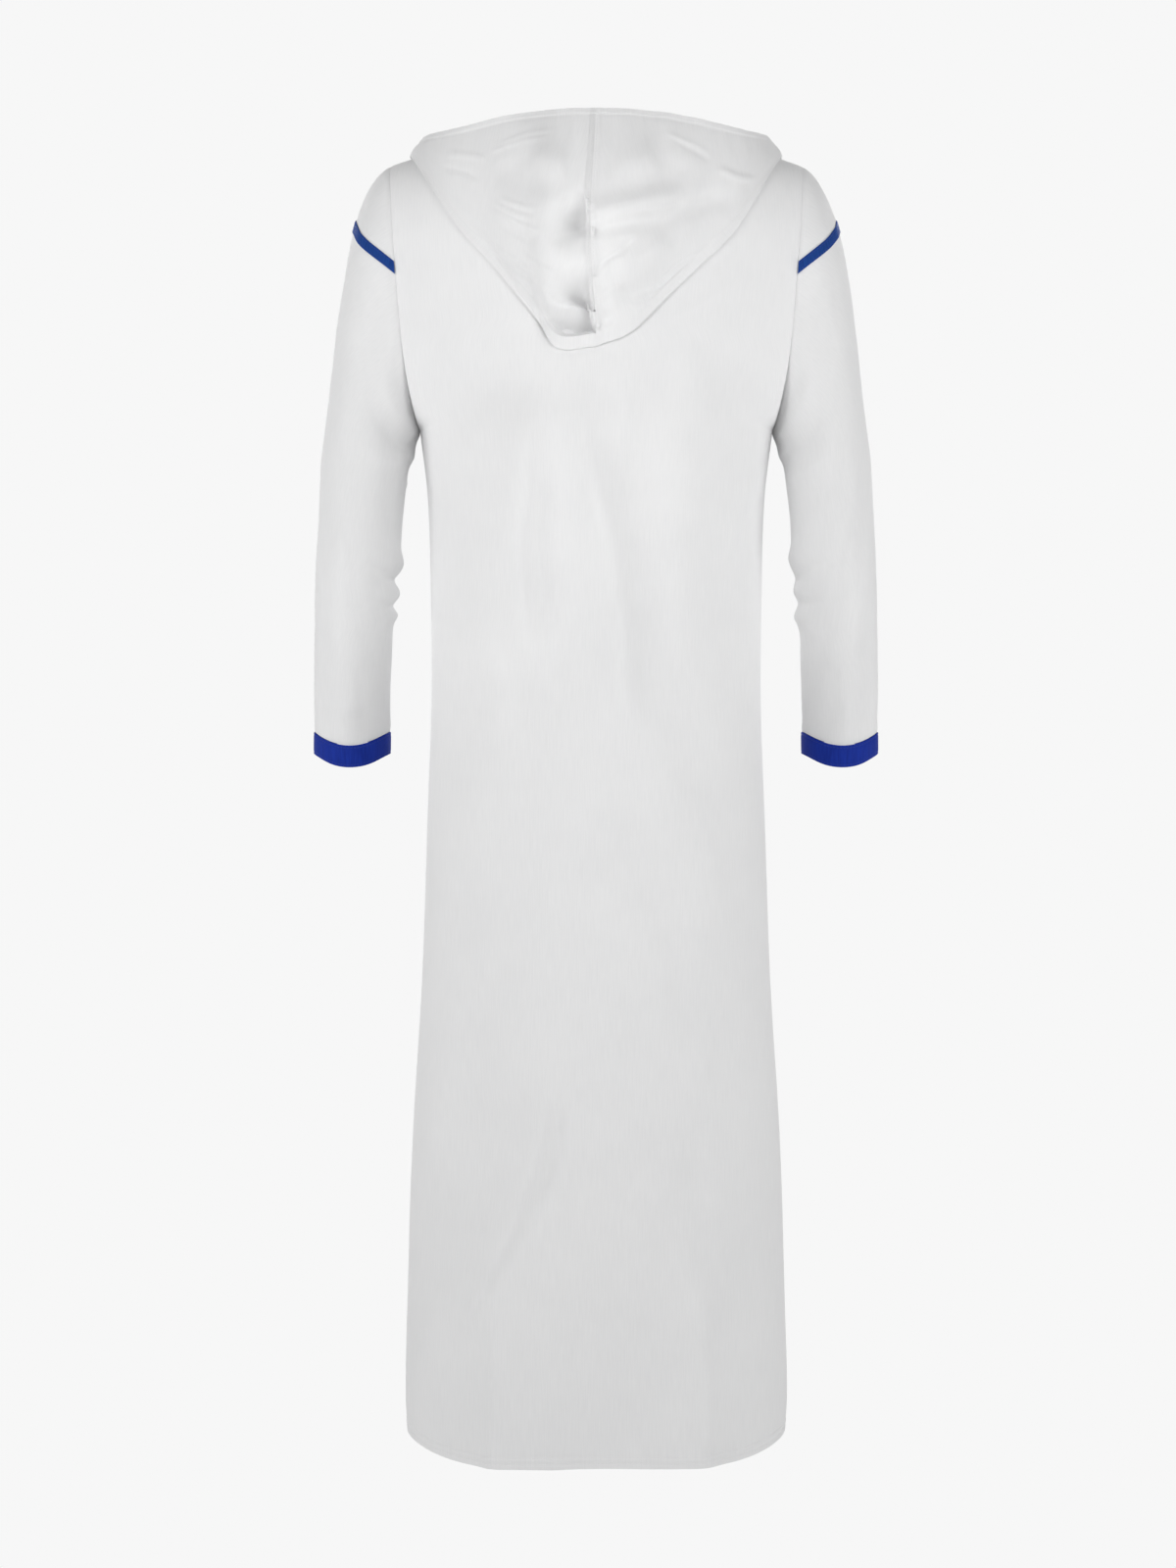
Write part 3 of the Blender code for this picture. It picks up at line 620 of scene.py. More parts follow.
@dataclass(frozen=True)
class ThreadFinish:
    """Twisted sewing thread."""

    name: str
    slot: str
    light: Colour
    deep: Colour
    twist_scale: float = 2400.0
    tone_stops: Place = (0.35, 0.65)
    roughness: float = 0.6
    gloss: float = 0.3

    def make(self) -> bpy.types.Material:
        """Make the material, on the object's own coordinates.

        Returns:
            The material.
        """
        nodes = Nodes(bpy.data.materials.new(self.name))
        place = nodes.add("ShaderNodeTexCoord").outputs["Object"]
        twist = nodes.add("ShaderNodeTexNoise", {"Vector": place, "Scale": self.twist_scale, "Detail": 1.0})
        tone = nodes.ramp(twist.outputs["Fac"], *zip(self.tone_stops, (self.deep, self.light)))
        nodes.feed(nodes.shader, {
            "Base Color": tone, "Roughness": self.roughness, "Specular IOR Level": self.gloss})
        return nodes.owner


WHITE_CLOTH = ClothFinish(
    "white_cloth_weave", "cloth", light=(0.820, 0.820, 0.822), deep=(0.785, 0.786, 0.790),
    weave_pitch=0.00085, weave_height=0.00011, wrinkle_height=0.00110, roughness=(0.80, 0.92), sheen=0.12,
    sheen_tint=(1.0, 1.0, 1.0))
CUFF_CLOTH = ClothFinish(
    "blue_cuff_weave", "blue_cloth", light=(0.006, 0.028, 0.300), deep=(0.003, 0.018, 0.205),
    weave_pitch=0.00100, weave_height=0.00016, wrinkle_height=0.00090, roughness=(0.60, 0.76), sheen=0.03,
    sheen_tint=(0.25, 0.40, 1.0), gloss=0.10)
TAPE_CLOTH = ClothFinish(
    "blue_tape_weave", "blue_cloth", light=(0.009, 0.060, 0.285), deep=(0.005, 0.036, 0.190),
    weave_pitch=0.00090, weave_height=0.00016, wrinkle_height=0.00060, roughness=(0.60, 0.76), sheen=0.03,
    sheen_tint=(0.25, 0.40, 1.0), gloss=0.10)
WHITE_THREAD = ThreadFinish("white_thread", "cloth", light=(0.83, 0.83, 0.83), deep=(0.72, 0.72, 0.73))
BLUE_THREAD = ThreadFinish(
    "blue_thread", "blue_cloth", light=(0.016, 0.040, 0.300), deep=(0.008, 0.020, 0.180))
FINISHES = (WHITE_CLOTH, CUFF_CLOTH, TAPE_CLOTH, WHITE_THREAD, BLUE_THREAD)


# ---------------------------------------------------------------- the workroom
@dataclass(frozen=True)
class Cut:
    """A piece's flat cut, of the cloth that shows: its width, length and area."""

    width: float
    length: float
    area: float


class Workroom:
    """The materials, each made once, and the ways in which every piece is sewn and dressed."""

    def __init__(self) -> None:
        """Make the materials."""
        self.thread = Thread()
        self.materials = {finish: finish.make() for finish in FINISHES}

    def fix(self, piece: bpy.types.Object) -> bpy.types.Object:
        """Fix a piece to the frame.

        Args:
            piece: the piece, in its place.

        Returns:
            The piece.
        """
        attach(piece, "root")
        return piece

    def stitch(self, name: str, rows: Rows, finish: ThreadFinish) -> bpy.types.Object:
        """Sew the stitches of a piece of cloth.

        Args:
            name: the stitches' name.
            rows: the lines that they run on, with the cloth's normals there.
            finish: the thread.

        Returns:
            All of the stitches, as one piece.
        """
        return self.fix(self.thread.sew(name, rows, self.materials[finish]))

    def dress(self, sheet: Sheet, finish: ClothFinish, cut: str, hand: Hand | None, rests_on: str,
              *stitches: bpy.types.Object) -> bpy.types.Object:
        """Build a piece of cloth in place of its solid, and hide the solid.

        Args:
            sheet: the cloth.
            finish: its finish.
            cut: the name of its cut, which is also its solid's.
            hand: which of two the piece is, if there are two.
            rests_on: the name of the piece that it rests on. Not used.
            stitches: the stitches that are on it. Not used.

        Returns:
            The piece.
        """
        piece = self.fix(sheet.build(self.materials[finish]))
        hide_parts(cut if hand is None else f"{cut}_{hand.word}")
        return piece


# ---------------------------------------------------------------- the body's form
@dataclass(frozen=True)
class Section:
    """The body at one height: its half width, and its depth to the back and to the front."""

    height: float
    half_width: float
    back_depth: float
    front_depth: float


BODY_SECTIONS = (
    Section(-1.306, 0.1905, 0.141, 0.139),
    Section(-1.258, 0.1940, 0.1405, 0.1385),
    Section(-1.155, 0.1920, 0.138, 0.136),
    Section(-0.995, 0.1870, 0.131, 0.129),
    Section(-0.835, 0.1775, 0.124, 0.122),
    Section(-0.675, 0.1720, 0.118, 0.118),
    Section(-0.555, 0.1680, 0.114, 0.118),
    Section(-0.435, 0.1685, 0.118, 0.122),
    Section(-0.345, 0.1715, 0.127, 0.126),
    Section(-0.276, 0.1795, 0.133, 0.127),
)
BACK_FOLDS = (
    fold(15.5, 60, 19, (71.5, -235), (71.2, -300), (71.5, -355), (80, -392), (75, -450), (66, -530)),
    fold(9.4, 28, 14, (10.2, -220), (12.1, -305.5), (-8, -370), (-19.5, -425), (-28.1, -505), (-32, -620)),
    fold(-4.4, 12, 20, (48, -290), (49, -420), (40, -580)),
    fold(-3.4, 12, 32, (-28, -265), (-42, -340), (-42, -420), (-54, -500)),
    fold(4, 26, 22, (-80, -260), (-86, -380), (-84, -520)),
    fold(2.4, 24, 24, (118, -300), (116, -420), (110, -540)),
    fold(5, 9, 12, (-170, -310), (-146, -362), (-124, -425), fades=(0.15, 0.45)),
    fold(-2.4, 8, 10, (-172, -340), (-155, -392), (-140, -450), fades=(0.15, 0.45)),
    fold(4.2, 10, 8, (170, -305), (152, -350), (138, -405), fades=(0.15, 0.45)),
    fold(-2, 8, 8, (172, -330), (160, -372), (150, -420), fades=(0.15, 0.45)),
    fold(1.5, 3, 3, (62, -202), (36, -214), (12, -223)),
    fold(1.3, 3, 3, (58, -212), (36, -223), (12, -234)),
    fold(1.1, 3, 3, (50, -224), (30, -235), (10, -243)),
    fold(1.2, 4, 4, (-139, -138), (-104, -162), (-65, -186)),
    fold(1.6, 14, 10, (156, -470), (120, -505), (85, -520)),
    fold(1.6, 10, 14, (-158, -500), (-120, -528), (-90, -534)),
    fold(2.2, 20, 16, (150, -600), (120, -640), (112, -760)),
    fold(2.4, 20, 20, (-100, -620), (-112, -740), (-104, -880)),
    fold(-2.2, 22, 22, (20, -640), (30, -760), (44, -880)),
    fold(9, 26, 13, (44, -880), (52, -960), (66, -1020), (104, -1105), (160, -1205)),
    fold(-4.4, 14, 12, (30, -930), (40, -1000), (56, -1060)),
    fold(2.2, 8, 10, (8, -925), (4, -970), (7, -1010)),
    fold(6, 10, 18, (104, -1130), (103, -1220), (106, -1330), fades=(0.35, 0.01)),
    fold(5.8, 18, 10, (-100, -1100), (-108, -1200), (-108, -1330), fades=(0.35, 0.01)),
    fold(-22, 78, 78, (-10, -960), (-8, -1150), (-6, -1340), fades=(0.95, 0.01)),
    fold(2, 14, 12, (36, -1190), (40, -1260), (38, -1330), fades=(0.4, 0.01)),
    fold(1.8, 8, 10, (-78, -1095), (-98, -1125), (-118, -1155)),
    fold(2, 10, 14, (168, -1150), (172, -1230), (170, -1290)),
)
FRONT_FOLDS = (
    fold(-5.8, 24, 18, (62, -200), (56, -330), (50, -480), (44, -640)),
    fold(-5.8, 18, 22, (-50, -210), (-48, -340), (-42, -460), (-40, -580)),
    fold(4, 16, 18, (6, -240), (2, -400), (-6, -560), (-10, -720)),
    fold(3.4, 10, 9, (172, -310), (148, -360), (126, -425), fades=(0.15, 0.45)),
    fold(3.4, 9, 10, (-172, -305), (-152, -352), (-132, -410), fades=(0.15, 0.45)),
    fold(2.6, 8, 10, (50, -90), (26, -112), (0, -118), (-30, -108)),
    fold(2, 10, 12, (70, -118), (34, -150), (-10, -158)),
    fold(3, 20, 18, (110, -560), (100, -700), (104, -860)),
    fold(6.4, 22, 18, (-50, -840), (-66, -980), (-94, -1110), (-124, -1240)),
    fold(5.6, 18, 22, (70, -960), (88, -1120), (104, -1330), fades=(0.35, 0.01)),
    fold(-7.5, 68, 68, (0, -1120), (0, -1220), (0, -1330), fades=(0.35, 0.01)),
    fold(2.2, 14, 14, (10, -1000), (18, -1100), (16, -1200)),
    fold(2.6, 20, 18, (-150, -660), (-128, -760), (-124, -900)),
)

# Where the pouch of the hood presses the back in, under the hollows of its left half.
PRESSED = (
    fold(-14, 46, 36, (-20, -150), (20, -150), (64, -142), fades=(0.4, 0.4)),
    fold(-17, 30, 13, (-16, -190), (14, -190), (34, -184), (54, -168), fades=(0.3, 0.3)),
)


@dataclass(frozen=True)
class BodyForm:
    """The form of the robe's body, from the neckline and shoulder seams down to the hem."""

    armpit_height: float = -0.276
    hem_side_rise: float = 0.016
    hem_rise_power: float = 4.6
    neck_half_width: float = 0.085
    neck_side_height: float = 0.034
    back_neck_drop: float = 0.020
    front_neck_drop: float = 0.092
    shoulder_half_width: float = 0.2095
    shoulder_point_height: float = -0.006
    neck_rounding: float = 0.190
    shoulder_rounding: float = 0.100
    armhole_narrowing: float = 0.030
    armhole_half_depth: float = 0.068
    armhole_widest: float = 0.62
    armhole_slant: float = 0.020
    armhole_hook_power: float = 6.5
    armhole_middle: float = -0.141
    open_arc_power: float = 2.4
    edge_reach_power: float = 13.0
    section_power: float = 2.15
    opening_share: float = 0.3
    side_fade: float = 0.25
    fold_top_height: float = -0.020
    fold_top_fade: float = 0.100
    seam_tuck: float = 0.0007
    seam_tuck_width: float = 0.0024
    seam_turn: float = 0.012
    ring_gap: float = 0.05
    normal_step: float = 0.004

    def shoulder_height(self, x: Array) -> Array:
        """Height of the shoulder line at a distance from the neck's middle."""
        slope = ((self.neck_side_height - self.shoulder_point_height)
                 / (self.shoulder_half_width - self.neck_half_width))
        return self.neck_side_height - slope * np.maximum(np.abs(x) - self.neck_half_width, 0.0)

    def shoulder_round(self, x: Array, drop: Array) -> Array:
        """How much of the full depth the cloth has near the shoulder line.

        Args:
            x: places across the body.
            drop: 0 at the shoulder line to 1 at the armpit.

        Returns:
            The share, from 0 to 1.
        """
        outward = ease(np.abs(x) / self.shoulder_half_width)
        rounding = blend(self.neck_rounding, self.shoulder_rounding, outward)
        fall = drop * (self.shoulder_height(x) - self.armpit_height) / rounding
        return np.sqrt(np.maximum(1.0 - (1.0 - np.minimum(fall, 1.0)) ** 2, 0.0))

    def armhole_x(self, drop: Array) -> Array:
        """Distance of the armhole from the middle, from drop 0 at the shoulder to 1 at the armpit."""
        hook = (self.armhole_narrowing - self.armhole_slant) * drop ** self.armhole_hook_power
        return self.shoulder_half_width - self.armhole_slant * drop - hook

    def armhole_depth(self, drop: Array) -> Array:
        """Depth of the armhole's edge before the shoulder rounds it off."""
        below = np.maximum((drop - self.armhole_widest) / (1.0 - self.armhole_widest), 0.0)
        return self.armhole_half_depth * np.sqrt(np.maximum(1.0 - below * below, 0.0))

    def neck_drop(self, x: Array, side: Side) -> Array:
        """How far the neckline is below the shoulder line.

        Args:
            x: places across the neck.
            side: the back or the front.

        Returns:
            The drop, as a share of the way to the armpit.
        """
        depth = self.back_neck_drop if side is Side.BACK else self.front_neck_drop
        inside = np.maximum(1.0 - (x / self.neck_half_width) ** 2, 0.0)
        return depth * inside / (self.shoulder_height(x) - self.armpit_height)

    def section_depth(self, side: Side, height: Array | float) -> Array:
        """The sections' depth on one side at a height."""
        return read(BODY_SECTIONS, "height", f"{side.word}_depth", height)

    def curve(self, share: Array) -> Array:
        """A section's rounding, from 1 in the middle to 0 at its sides."""
        return np.maximum(1.0 - share ** self.section_power, 0.0) ** (1.0 / self.section_power)

    def yoke_point(self, side: Side, across: Array, drop: Array) -> Array:
        """A place of the cloth above the armpit.

        Args:
            side: the back or the front.
            across: -1 to 1, from armhole to armhole.
            drop: 0 at the shoulder line to 1 at the armpit.

        Returns:
            The points.
        """
        opened = ease((1.0 - drop) / self.opening_share)
        share = blend(np.sin(np.abs(across) * math.pi / 2), np.abs(across), opened)
        x = np.copysign(self.armhole_x(drop) * share, across)
        open_curve = 1.0 - share ** self.open_arc_power
        middle = self.section_depth(side, self.armpit_height)
        edge_pull = blend(share ** self.edge_reach_power, 1.0 - open_curve, opened)
        depth = middle * blend(self.curve(share), open_curve, opened) + self.armhole_depth(drop) * edge_pull
        z = blend(self.shoulder_height(x), self.armpit_height, drop)
        y = side.value * depth * self.shoulder_round(x, drop)
        if side is Side.BACK:
            x, y, z = np.broadcast_arrays(x, y, z)
            y = y + lift_all(PRESSED, x, z)
        return points(x, y, z)

    def skirt_point(self, side: Side, across: Array, rise: Array) -> Array:
        """A place of the cloth below the armpit.

        Args:
            side: the back or the front.
            across: -1 to 1, from side to side.
            rise: 0 at the hem to 1 at the armpit.

        Returns:
            The points.
        """
        share = np.sin(np.abs(across) * math.pi / 2)
        hem = BODY_SECTIONS[0].height + self.hem_side_rise * share ** self.hem_rise_power
        z = blend(hem, self.armpit_height, rise)
        x = np.copysign(read(BODY_SECTIONS, "height", "half_width", z) * share, across)
        return points(x, side.value * self.section_depth(side, z) * self.curve(share), z)

    def bare_point(self, side: Side, across: Array, level: Array) -> Array:
        """A place of a body panel before its folds.

        Args:
            side: the back or the front.
            across: -1 to 1, from side to side.
            level: 0 at the hem, 1 at the armpit, 2 at the top edge.

        Returns:
            The points.
        """
        across, level = np.broadcast_arrays(across, level)
        top_x = np.minimum(self.shoulder_half_width * np.abs(across), self.neck_half_width)
        top = self.neck_drop(top_x, side)
        lift = np.sin(np.maximum(level - 1.0, 0.0) * math.pi / 2)
        yoke = self.yoke_point(side, across, blend(1.0, top, lift))
        skirt = self.skirt_point(side, across, np.minimum(level, 1.0))
        return np.where((level > 1.0)[..., None], yoke, skirt)

    def panel_point(self, side: Side, across: Array, level: Array) -> Array:
        """A place of a body panel, with its folds.

        Args:
            side: the back or the front.
            across: -1 to 1, from side to side.
            level: 0 at the hem, 1 at the armpit, 2 at the top edge.

        Returns:
            The points.
        """
        grid = self.bare_point(side, across, level)
        x, z = grid[..., 0], grid[..., 2]
        folds = BACK_FOLDS if side is Side.BACK else FRONT_FOLDS
        fade = ease((1.0 - np.abs(across)) / self.side_fade)
        fade = fade * ease((self.fold_top_height - z) / self.fold_top_fade)
        grid[..., 1] += side.value * (lift_all(folds, x, z) * fade + SEAM_GAP / 2)
        return grid

    def place_of(self, x: Array, z: Array) -> tuple[Array, Array]:
        """Find the cloth's own place above the armpit.

        Args:
            x: distance from the middle.
            z: height.

        Returns:
            The places across and the drops, as yoke_point takes them.
        """
        top = self.shoulder_height(x)
        drop = np.clip((top - z) / (top - self.armpit_height), 0.0, 1.0)
        return x / self.armhole_x(drop), drop

    def armhole_out(self, edge: Array) -> Array:
        """Directions square to the armhole's seam, away from the middle of the hole.

        Args:
            edge: the seam's points in order. They may close into a ring.

        Returns:
            A direction for each point, with nothing across the body.
        """
        along = np.gradient(edge, axis=0)
        if np.linalg.norm(edge[0] - edge[-1]) < self.ring_gap:
            along[0], along[-1] = edge[1] - edge[-1], edge[0] - edge[-2]
        out = units(np.cross(along, np.array([1.0, 0.0, 0.0])))
        away = edge - np.array([0.0, 0.0, self.armhole_middle])
        return out * np.where(np.sum(out * away, axis=-1, keepdims=True) < 0.0, -1.0, 1.0)

    def stand_off(self, side: Side, across: Array, drop: Array, lift: Array) -> Array:
        """Points that stand off the cloth above the armpit.

        Args:
            side: the back or the front.
            across: -1 to 1, from armhole to armhole.
            drop: 0 at the shoulder line to 1 at the armpit.
            lift: how far they stand off.

        Returns:
            The points.
        """
        step = self.normal_step
        down = (self.yoke_point(side, across, np.minimum(drop + step, 1.0))
                - self.yoke_point(side, across, np.maximum(drop - step, 0.0)))
        out = self.yoke_point(side, across + step, drop) - self.yoke_point(side, across - step, drop)
        normal = units(np.cross(out, down)) * side.value
        normal[..., 1] = np.where(drop < step, 0.0, normal[..., 1])
        normal = units(normal)
        flip = np.sign(normal[..., 1] * side.value + normal[..., 2] + TINY)
        point = self.yoke_point(side, across, drop) + normal * (flip * lift)[..., None]
        point[..., 1] += side.value * SEAM_GAP / 2
        return point


# ---------------------------------------------------------------- body panels
@dataclass(frozen=True)
class Hem:
    """A turned and stitched edge: its width, how far it stands proud and where its stitches run."""

    width: float = 0.0125
    proud: float = 0.0006
    rows: tuple[float, ...] = (0.0055, 0.0112)
    dent: float = 0.00045
    dent_width: float = 0.0011
    edge: float = 0.0012
    beyond: float = 0.003

    def lift(self, distance: Array) -> Array:
        """How far the cloth stands out near its edge.

        Args:
            distance: distance from the edge.

        Returns:
            The lift, in metres.
        """
        total = self.proud * ease((self.width - distance) / self.edge)
        for row in self.rows:
            total = total - self.dent * bump(distance - row, self.dent_width)
        return total

    def steps(self, pitch: float = 0.00125) -> list[float]:
        """Distances from the edge at which the cloth needs points."""
        count = int(round((self.width + self.beyond) / pitch))
        return [pitch * i for i in range(count + 1)]


@dataclass
class Body:
    """The back and front panels, from hem to shoulder seams."""

    form: BodyForm
    hem: Hem
    thickness: float = 0.0012
    neck_columns: int = 22
    shoulder_columns: int = 32
    skirt_rows: int = 240
    yoke_rows: int = 84
    front_share: float = 0.75
    seam_columns: tuple[float, ...] = (0.0026, 0.0014, 0.0006, 0.0)
    slack_fade: float = 0.03
    slack_top: float = -0.17
    slack_top_fade: float = 0.07
    slack_seeds: tuple[int, int] = (3, 4)

    @property
    def skirt_length(self) -> float:
        """The length of the panels from the armpit to the middle of the hem."""
        return self.form.armpit_height - BODY_SECTIONS[0].height

    def share(self, side: Side) -> float:
        """The share of its full number of points that a panel has."""
        return 1.0 if side is Side.BACK else self.front_share

    def across_steps(self, share: float) -> Array:
        """Set out a panel's columns.

        Args:
            share: the share of their full number.

        Returns:
            Places from side to side, -1 to 1.
        """
        neck = self.form.neck_half_width / self.form.shoulder_half_width
        neck_count = int(self.neck_columns * share)
        inner = neck * np.sin(math.pi / 2 * np.arange(neck_count + 1) / neck_count)
        count = int(self.shoulder_columns * share)
        outer = blend(neck, 1.0, np.arange(1, count) / count)
        seam = 1.0 - np.array(self.seam_columns) / self.form.shoulder_half_width
        half = np.concatenate([inner, outer, seam])
        return np.concatenate([-half[:0:-1], half])

    def levels(self, share: float) -> Array:
        """Set out a panel's rows, closer together at the hem.

        Args:
            share: the share of their full number.

        Returns:
            Levels from 0 at the hem to 2 at the top edge.
        """
        low = [step / self.skirt_length for step in self.hem.steps()]
        count = int(self.skirt_rows * share)
        skirt = [blend(low[-1], 1.0, i / count) for i in range(1, count + 1)]
        yoke_count = int(self.yoke_rows * share)
        return np.array(low + skirt + [1.0 + i / yoke_count for i in range(1, yoke_count + 1)])

    def sheet(self, side: Side) -> Sheet:
        """Shape one panel's cloth, with its folds, slack, seams and hem.

        Args:
            side: the back or the front.

        Returns:
            The cloth.
        """
        form = self.form
        across, level = np.broadcast_arrays(self.across_steps(self.share(side))[None, :],
                                            self.levels(self.share(side))[:, None])
        grid = form.panel_point(side, across, level)
        sheet = Sheet(f"{side.word}_cloth", grid, self.thickness, facing=-side.value)
        x, z = grid[..., 0], grid[..., 2]
        from_hem = level * self.skirt_length
        from_side = (1.0 - np.abs(across)) * form.shoulder_half_width
        slack = Slack(self.slack_seeds[side is Side.FRONT])
        lift = slack.lift(x, z) * ease(from_side / self.slack_fade) * ease(from_hem / self.slack_fade)
        lift = lift * ease((self.slack_top - z) / self.slack_top_fade) + self.hem.lift(from_hem)
        seams = self.seam_directions(grid, level[:, 0])
        tuck = form.seam_tuck * bump(from_side, form.seam_tuck_width)
        half = np.where(across[..., None] < 0.0, seams[:, :1], seams[:, 1:])
        sheet.grid = grid + sheet.normals() * lift[..., None] - half * tuck[..., None]
        at_shoulder = np.abs(across) * form.shoulder_half_width >= form.neck_half_width - SMALL
        sheet.walls = sheet.normals()
        sheet.walls[:, [0, -1]] = seams
        sheet.walls[(level == level.max()) & at_shoulder, 1] = 0.0
        return sheet

    def seam_directions(self, grid: Array, level: Array) -> Array:
        """Outward directions along a panel's two long edges: square to the armhole, sideways below it.

        Args:
            grid: the panel's points.
            level: the level of each row.

        Returns:
            The directions, as rows, 2, 3.
        """
        first = int(np.argmax(level >= 1.0))
        directions = np.zeros((len(level), 2, 3))
        for i, column in enumerate((0, -1)):
            edge = grid[:, column]
            sideways = np.array([math.copysign(1.0, float(edge[0, 0])), 0.0, 0.0])
            directions[:, i] = sideways
            out = self.form.armhole_out(edge[first:])
            share = ease((edge[first:, 2] - self.form.armpit_height) / self.form.seam_turn)[:, None]
            directions[first:, i] = units(blend(sideways, out, share))
        return directions

    def hem_lines(self, sheets: dict[Side, Sheet]) -> Rows:
        """Find where the hem's stitches run.

        Args:
            sheets: the panels' cloth.

        Returns:
            The rows of stitches.
        """
        lines = []
        for side, sheet in sheets.items():
            distance = self.levels(self.share(side)) * self.skirt_length
            normals = sheet.normals()
            for row in self.hem.rows:
                index = int(np.argmin(np.abs(distance - row)))
                lines.append((sheet.grid[index], normals[index]))
        return lines

    def build(self, room: Workroom) -> list[bpy.types.Object]:
        """Build and dress the back, the front and the stitches of their hem.

        Args:
            room: the workroom.

        Returns:
            The pieces.
        """
        panels = {side: self.sheet(side) for side in Side}
        stitches = room.stitch("hem_stitches", self.hem_lines(panels), WHITE_THREAD)
        return [stitches,
                room.dress(panels[Side.BACK], WHITE_CLOTH, "back", None, "front_cloth", stitches),
                room.dress(panels[Side.FRONT], WHITE_CLOTH, "front", None, "back_cloth")]


# ---------------------------------------------------------------- sleeves, cuffs and tapes
@dataclass(frozen=True)
class ArmSection:
    """The sleeve below the armpit. Lean is how far a ring's back edge tips down, in degrees."""

    height: float
    centre_x: float
    centre_y: float
    half_width: float
    half_depth: float
    lean: float


ARM_SECTIONS = (
    ArmSection(-0.306, 0.2350, 0.004, 0.0445, 0.0640, 0.0),
    ArmSection(-0.360, 0.2390, 0.008, 0.0425, 0.0590, 2.0),
    ArmSection(-0.420, 0.2432, 0.008, 0.0420, 0.0540, 7.0),
    ArmSection(-0.480, 0.2478, -0.008, 0.0398, 0.0490, 16.0),
    ArmSection(-0.535, 0.2508, -0.029, 0.0393, 0.0450, 20.0),
    ArmSection(-0.581, 0.2524, -0.047, 0.0393, 0.0420, 20.0),
    ArmSection(-0.610, 0.2532, -0.058, 0.0390, 0.0415, 20.0),
)


@dataclass(frozen=True)
class Crease:
    """A cross crease inside the bend of an elbow."""

    height: float
    half_height: float
    rise: float


ELBOWS = {
    Hand.LEFT: (
        Crease(-0.410, 0.0100, 0.0045),
        Crease(-0.427, 0.0055, -0.0038),
        Crease(-0.441, 0.0070, 0.0036),
        Crease(-0.453, 0.0045, -0.0028),
        Crease(-0.463, 0.0060, 0.0040),
    ),
    Hand.RIGHT: (
        Crease(-0.405, 0.0105, 0.0042),
        Crease(-0.425, 0.0065, -0.0022),
        Crease(-0.438, 0.0050, 0.0010),
        Crease(-0.450, 0.0060, -0.0026),
        Crease(-0.465, 0.0070, 0.0035),
    ),
}
# Paths on a sleeve run round it from the armpit seam, more than 0 to the front, and in height.
SLEEVE_FOLDS = {
    Hand.LEFT: (
        fold(4.2, 10, 8, (-34, -300), (0, -301), (34, -300)),
        fold(3.4, 8, 10, (-12, -285), (-40, -262), (-70, -215), fades=(0.1, 0.5)),
        fold(-2.2, 6, 8, (-10, -300), (-42, -288), (-78, -250), fades=(0.1, 0.5)),
        fold(2.2, 8, 9, (-8, -318), (-45, -312), (-85, -285), fades=(0.1, 0.5)),
        fold(2.2, 8, 7, (-8, -402), (-42, -392), (-74, -370), fades=(0.1, 0.6)),
        fold(-2, 5, 6, (-6, -428), (-40, -424), (-70, -412), fades=(0.1, 0.6)),
        fold(1.8, 6, 6, (-6, -446), (-36, -447), (-66, -440), fades=(0.1, 0.6)),
        fold(2, 7, 8, (-6, -466), (-34, -474), (-60, -492), fades=(0.1, 0.6)),
        fold(1.6, 12, 12, (-86, -340), (-92, -430), (-88, -520)),
        fold(-1.4, 10, 10, (-56, -500), (-60, -545), (-52, -585)),
        fold(1.2, 5, 6, (-112, -568), (-80, -560), (-52, -556)),
        fold(2.8, 8, 10, (10, -290), (45, -268), (74, -228), fades=(0.1, 0.5)),
        fold(2, 8, 9, (10, -330), (48, -322), (84, -300), fades=(0.1, 0.5)),
        fold(2.6, 7, 8, (16, -412), (50, -404), (80, -386), fades=(0.1, 0.6)),
        fold(2.6, 6, 8, (16, -440), (50, -438), (84, -426), fades=(0.1, 0.6)),
        fold(2.2, 7, 8, (14, -464), (48, -470), (78, -486), fades=(0.1, 0.6)),
    ),
    Hand.RIGHT: (
        fold(3.4, 9, 8, (-34, -298), (0, -300), (34, -298)),
        fold(3.4, 10, 8, (-12, -288), (-44, -260), (-72, -210), fades=(0.1, 0.5)),
        fold(-2.2, 8, 6, (-10, -306), (-46, -292), (-80, -255), fades=(0.1, 0.5)),
        fold(2.2, 9, 8, (-8, -330), (-46, -322), (-84, -292), fades=(0.1, 0.5)),
        fold(2, 8, 8, (-8, -398), (-40, -392), (-72, -376), fades=(0.1, 0.6)),
        fold(-1.8, 5, 6, (-6, -426), (-44, -418), (-74, -402), fades=(0.1, 0.6)),
        fold(-1.6, 5, 6, (-6, -450), (-38, -452), (-68, -448), fades=(0.1, 0.6)),
        fold(2, 8, 8, (-6, -468), (-36, -478), (-62, -498), fades=(0.1, 0.6)),
        fold(1.6, 12, 12, (-84, -350), (-92, -440), (-86, -530)),
        fold(-1.4, 10, 10, (-58, -505), (-62, -550), (-50, -588)),
        fold(2.8, 10, 8, (10, -294), (46, -270), (76, -232), fades=(0.1, 0.5)),
        fold(2.6, 8, 7, (16, -408), (50, -402), (82, -388), fades=(0.1, 0.6)),
        fold(2.4, 7, 7, (16, -436), (52, -436), (84, -428), fades=(0.1, 0.6)),
        fold(2.2, 8, 7, (14, -466), (48, -474), (80, -492), fades=(0.1, 0.6)),
    ),
}


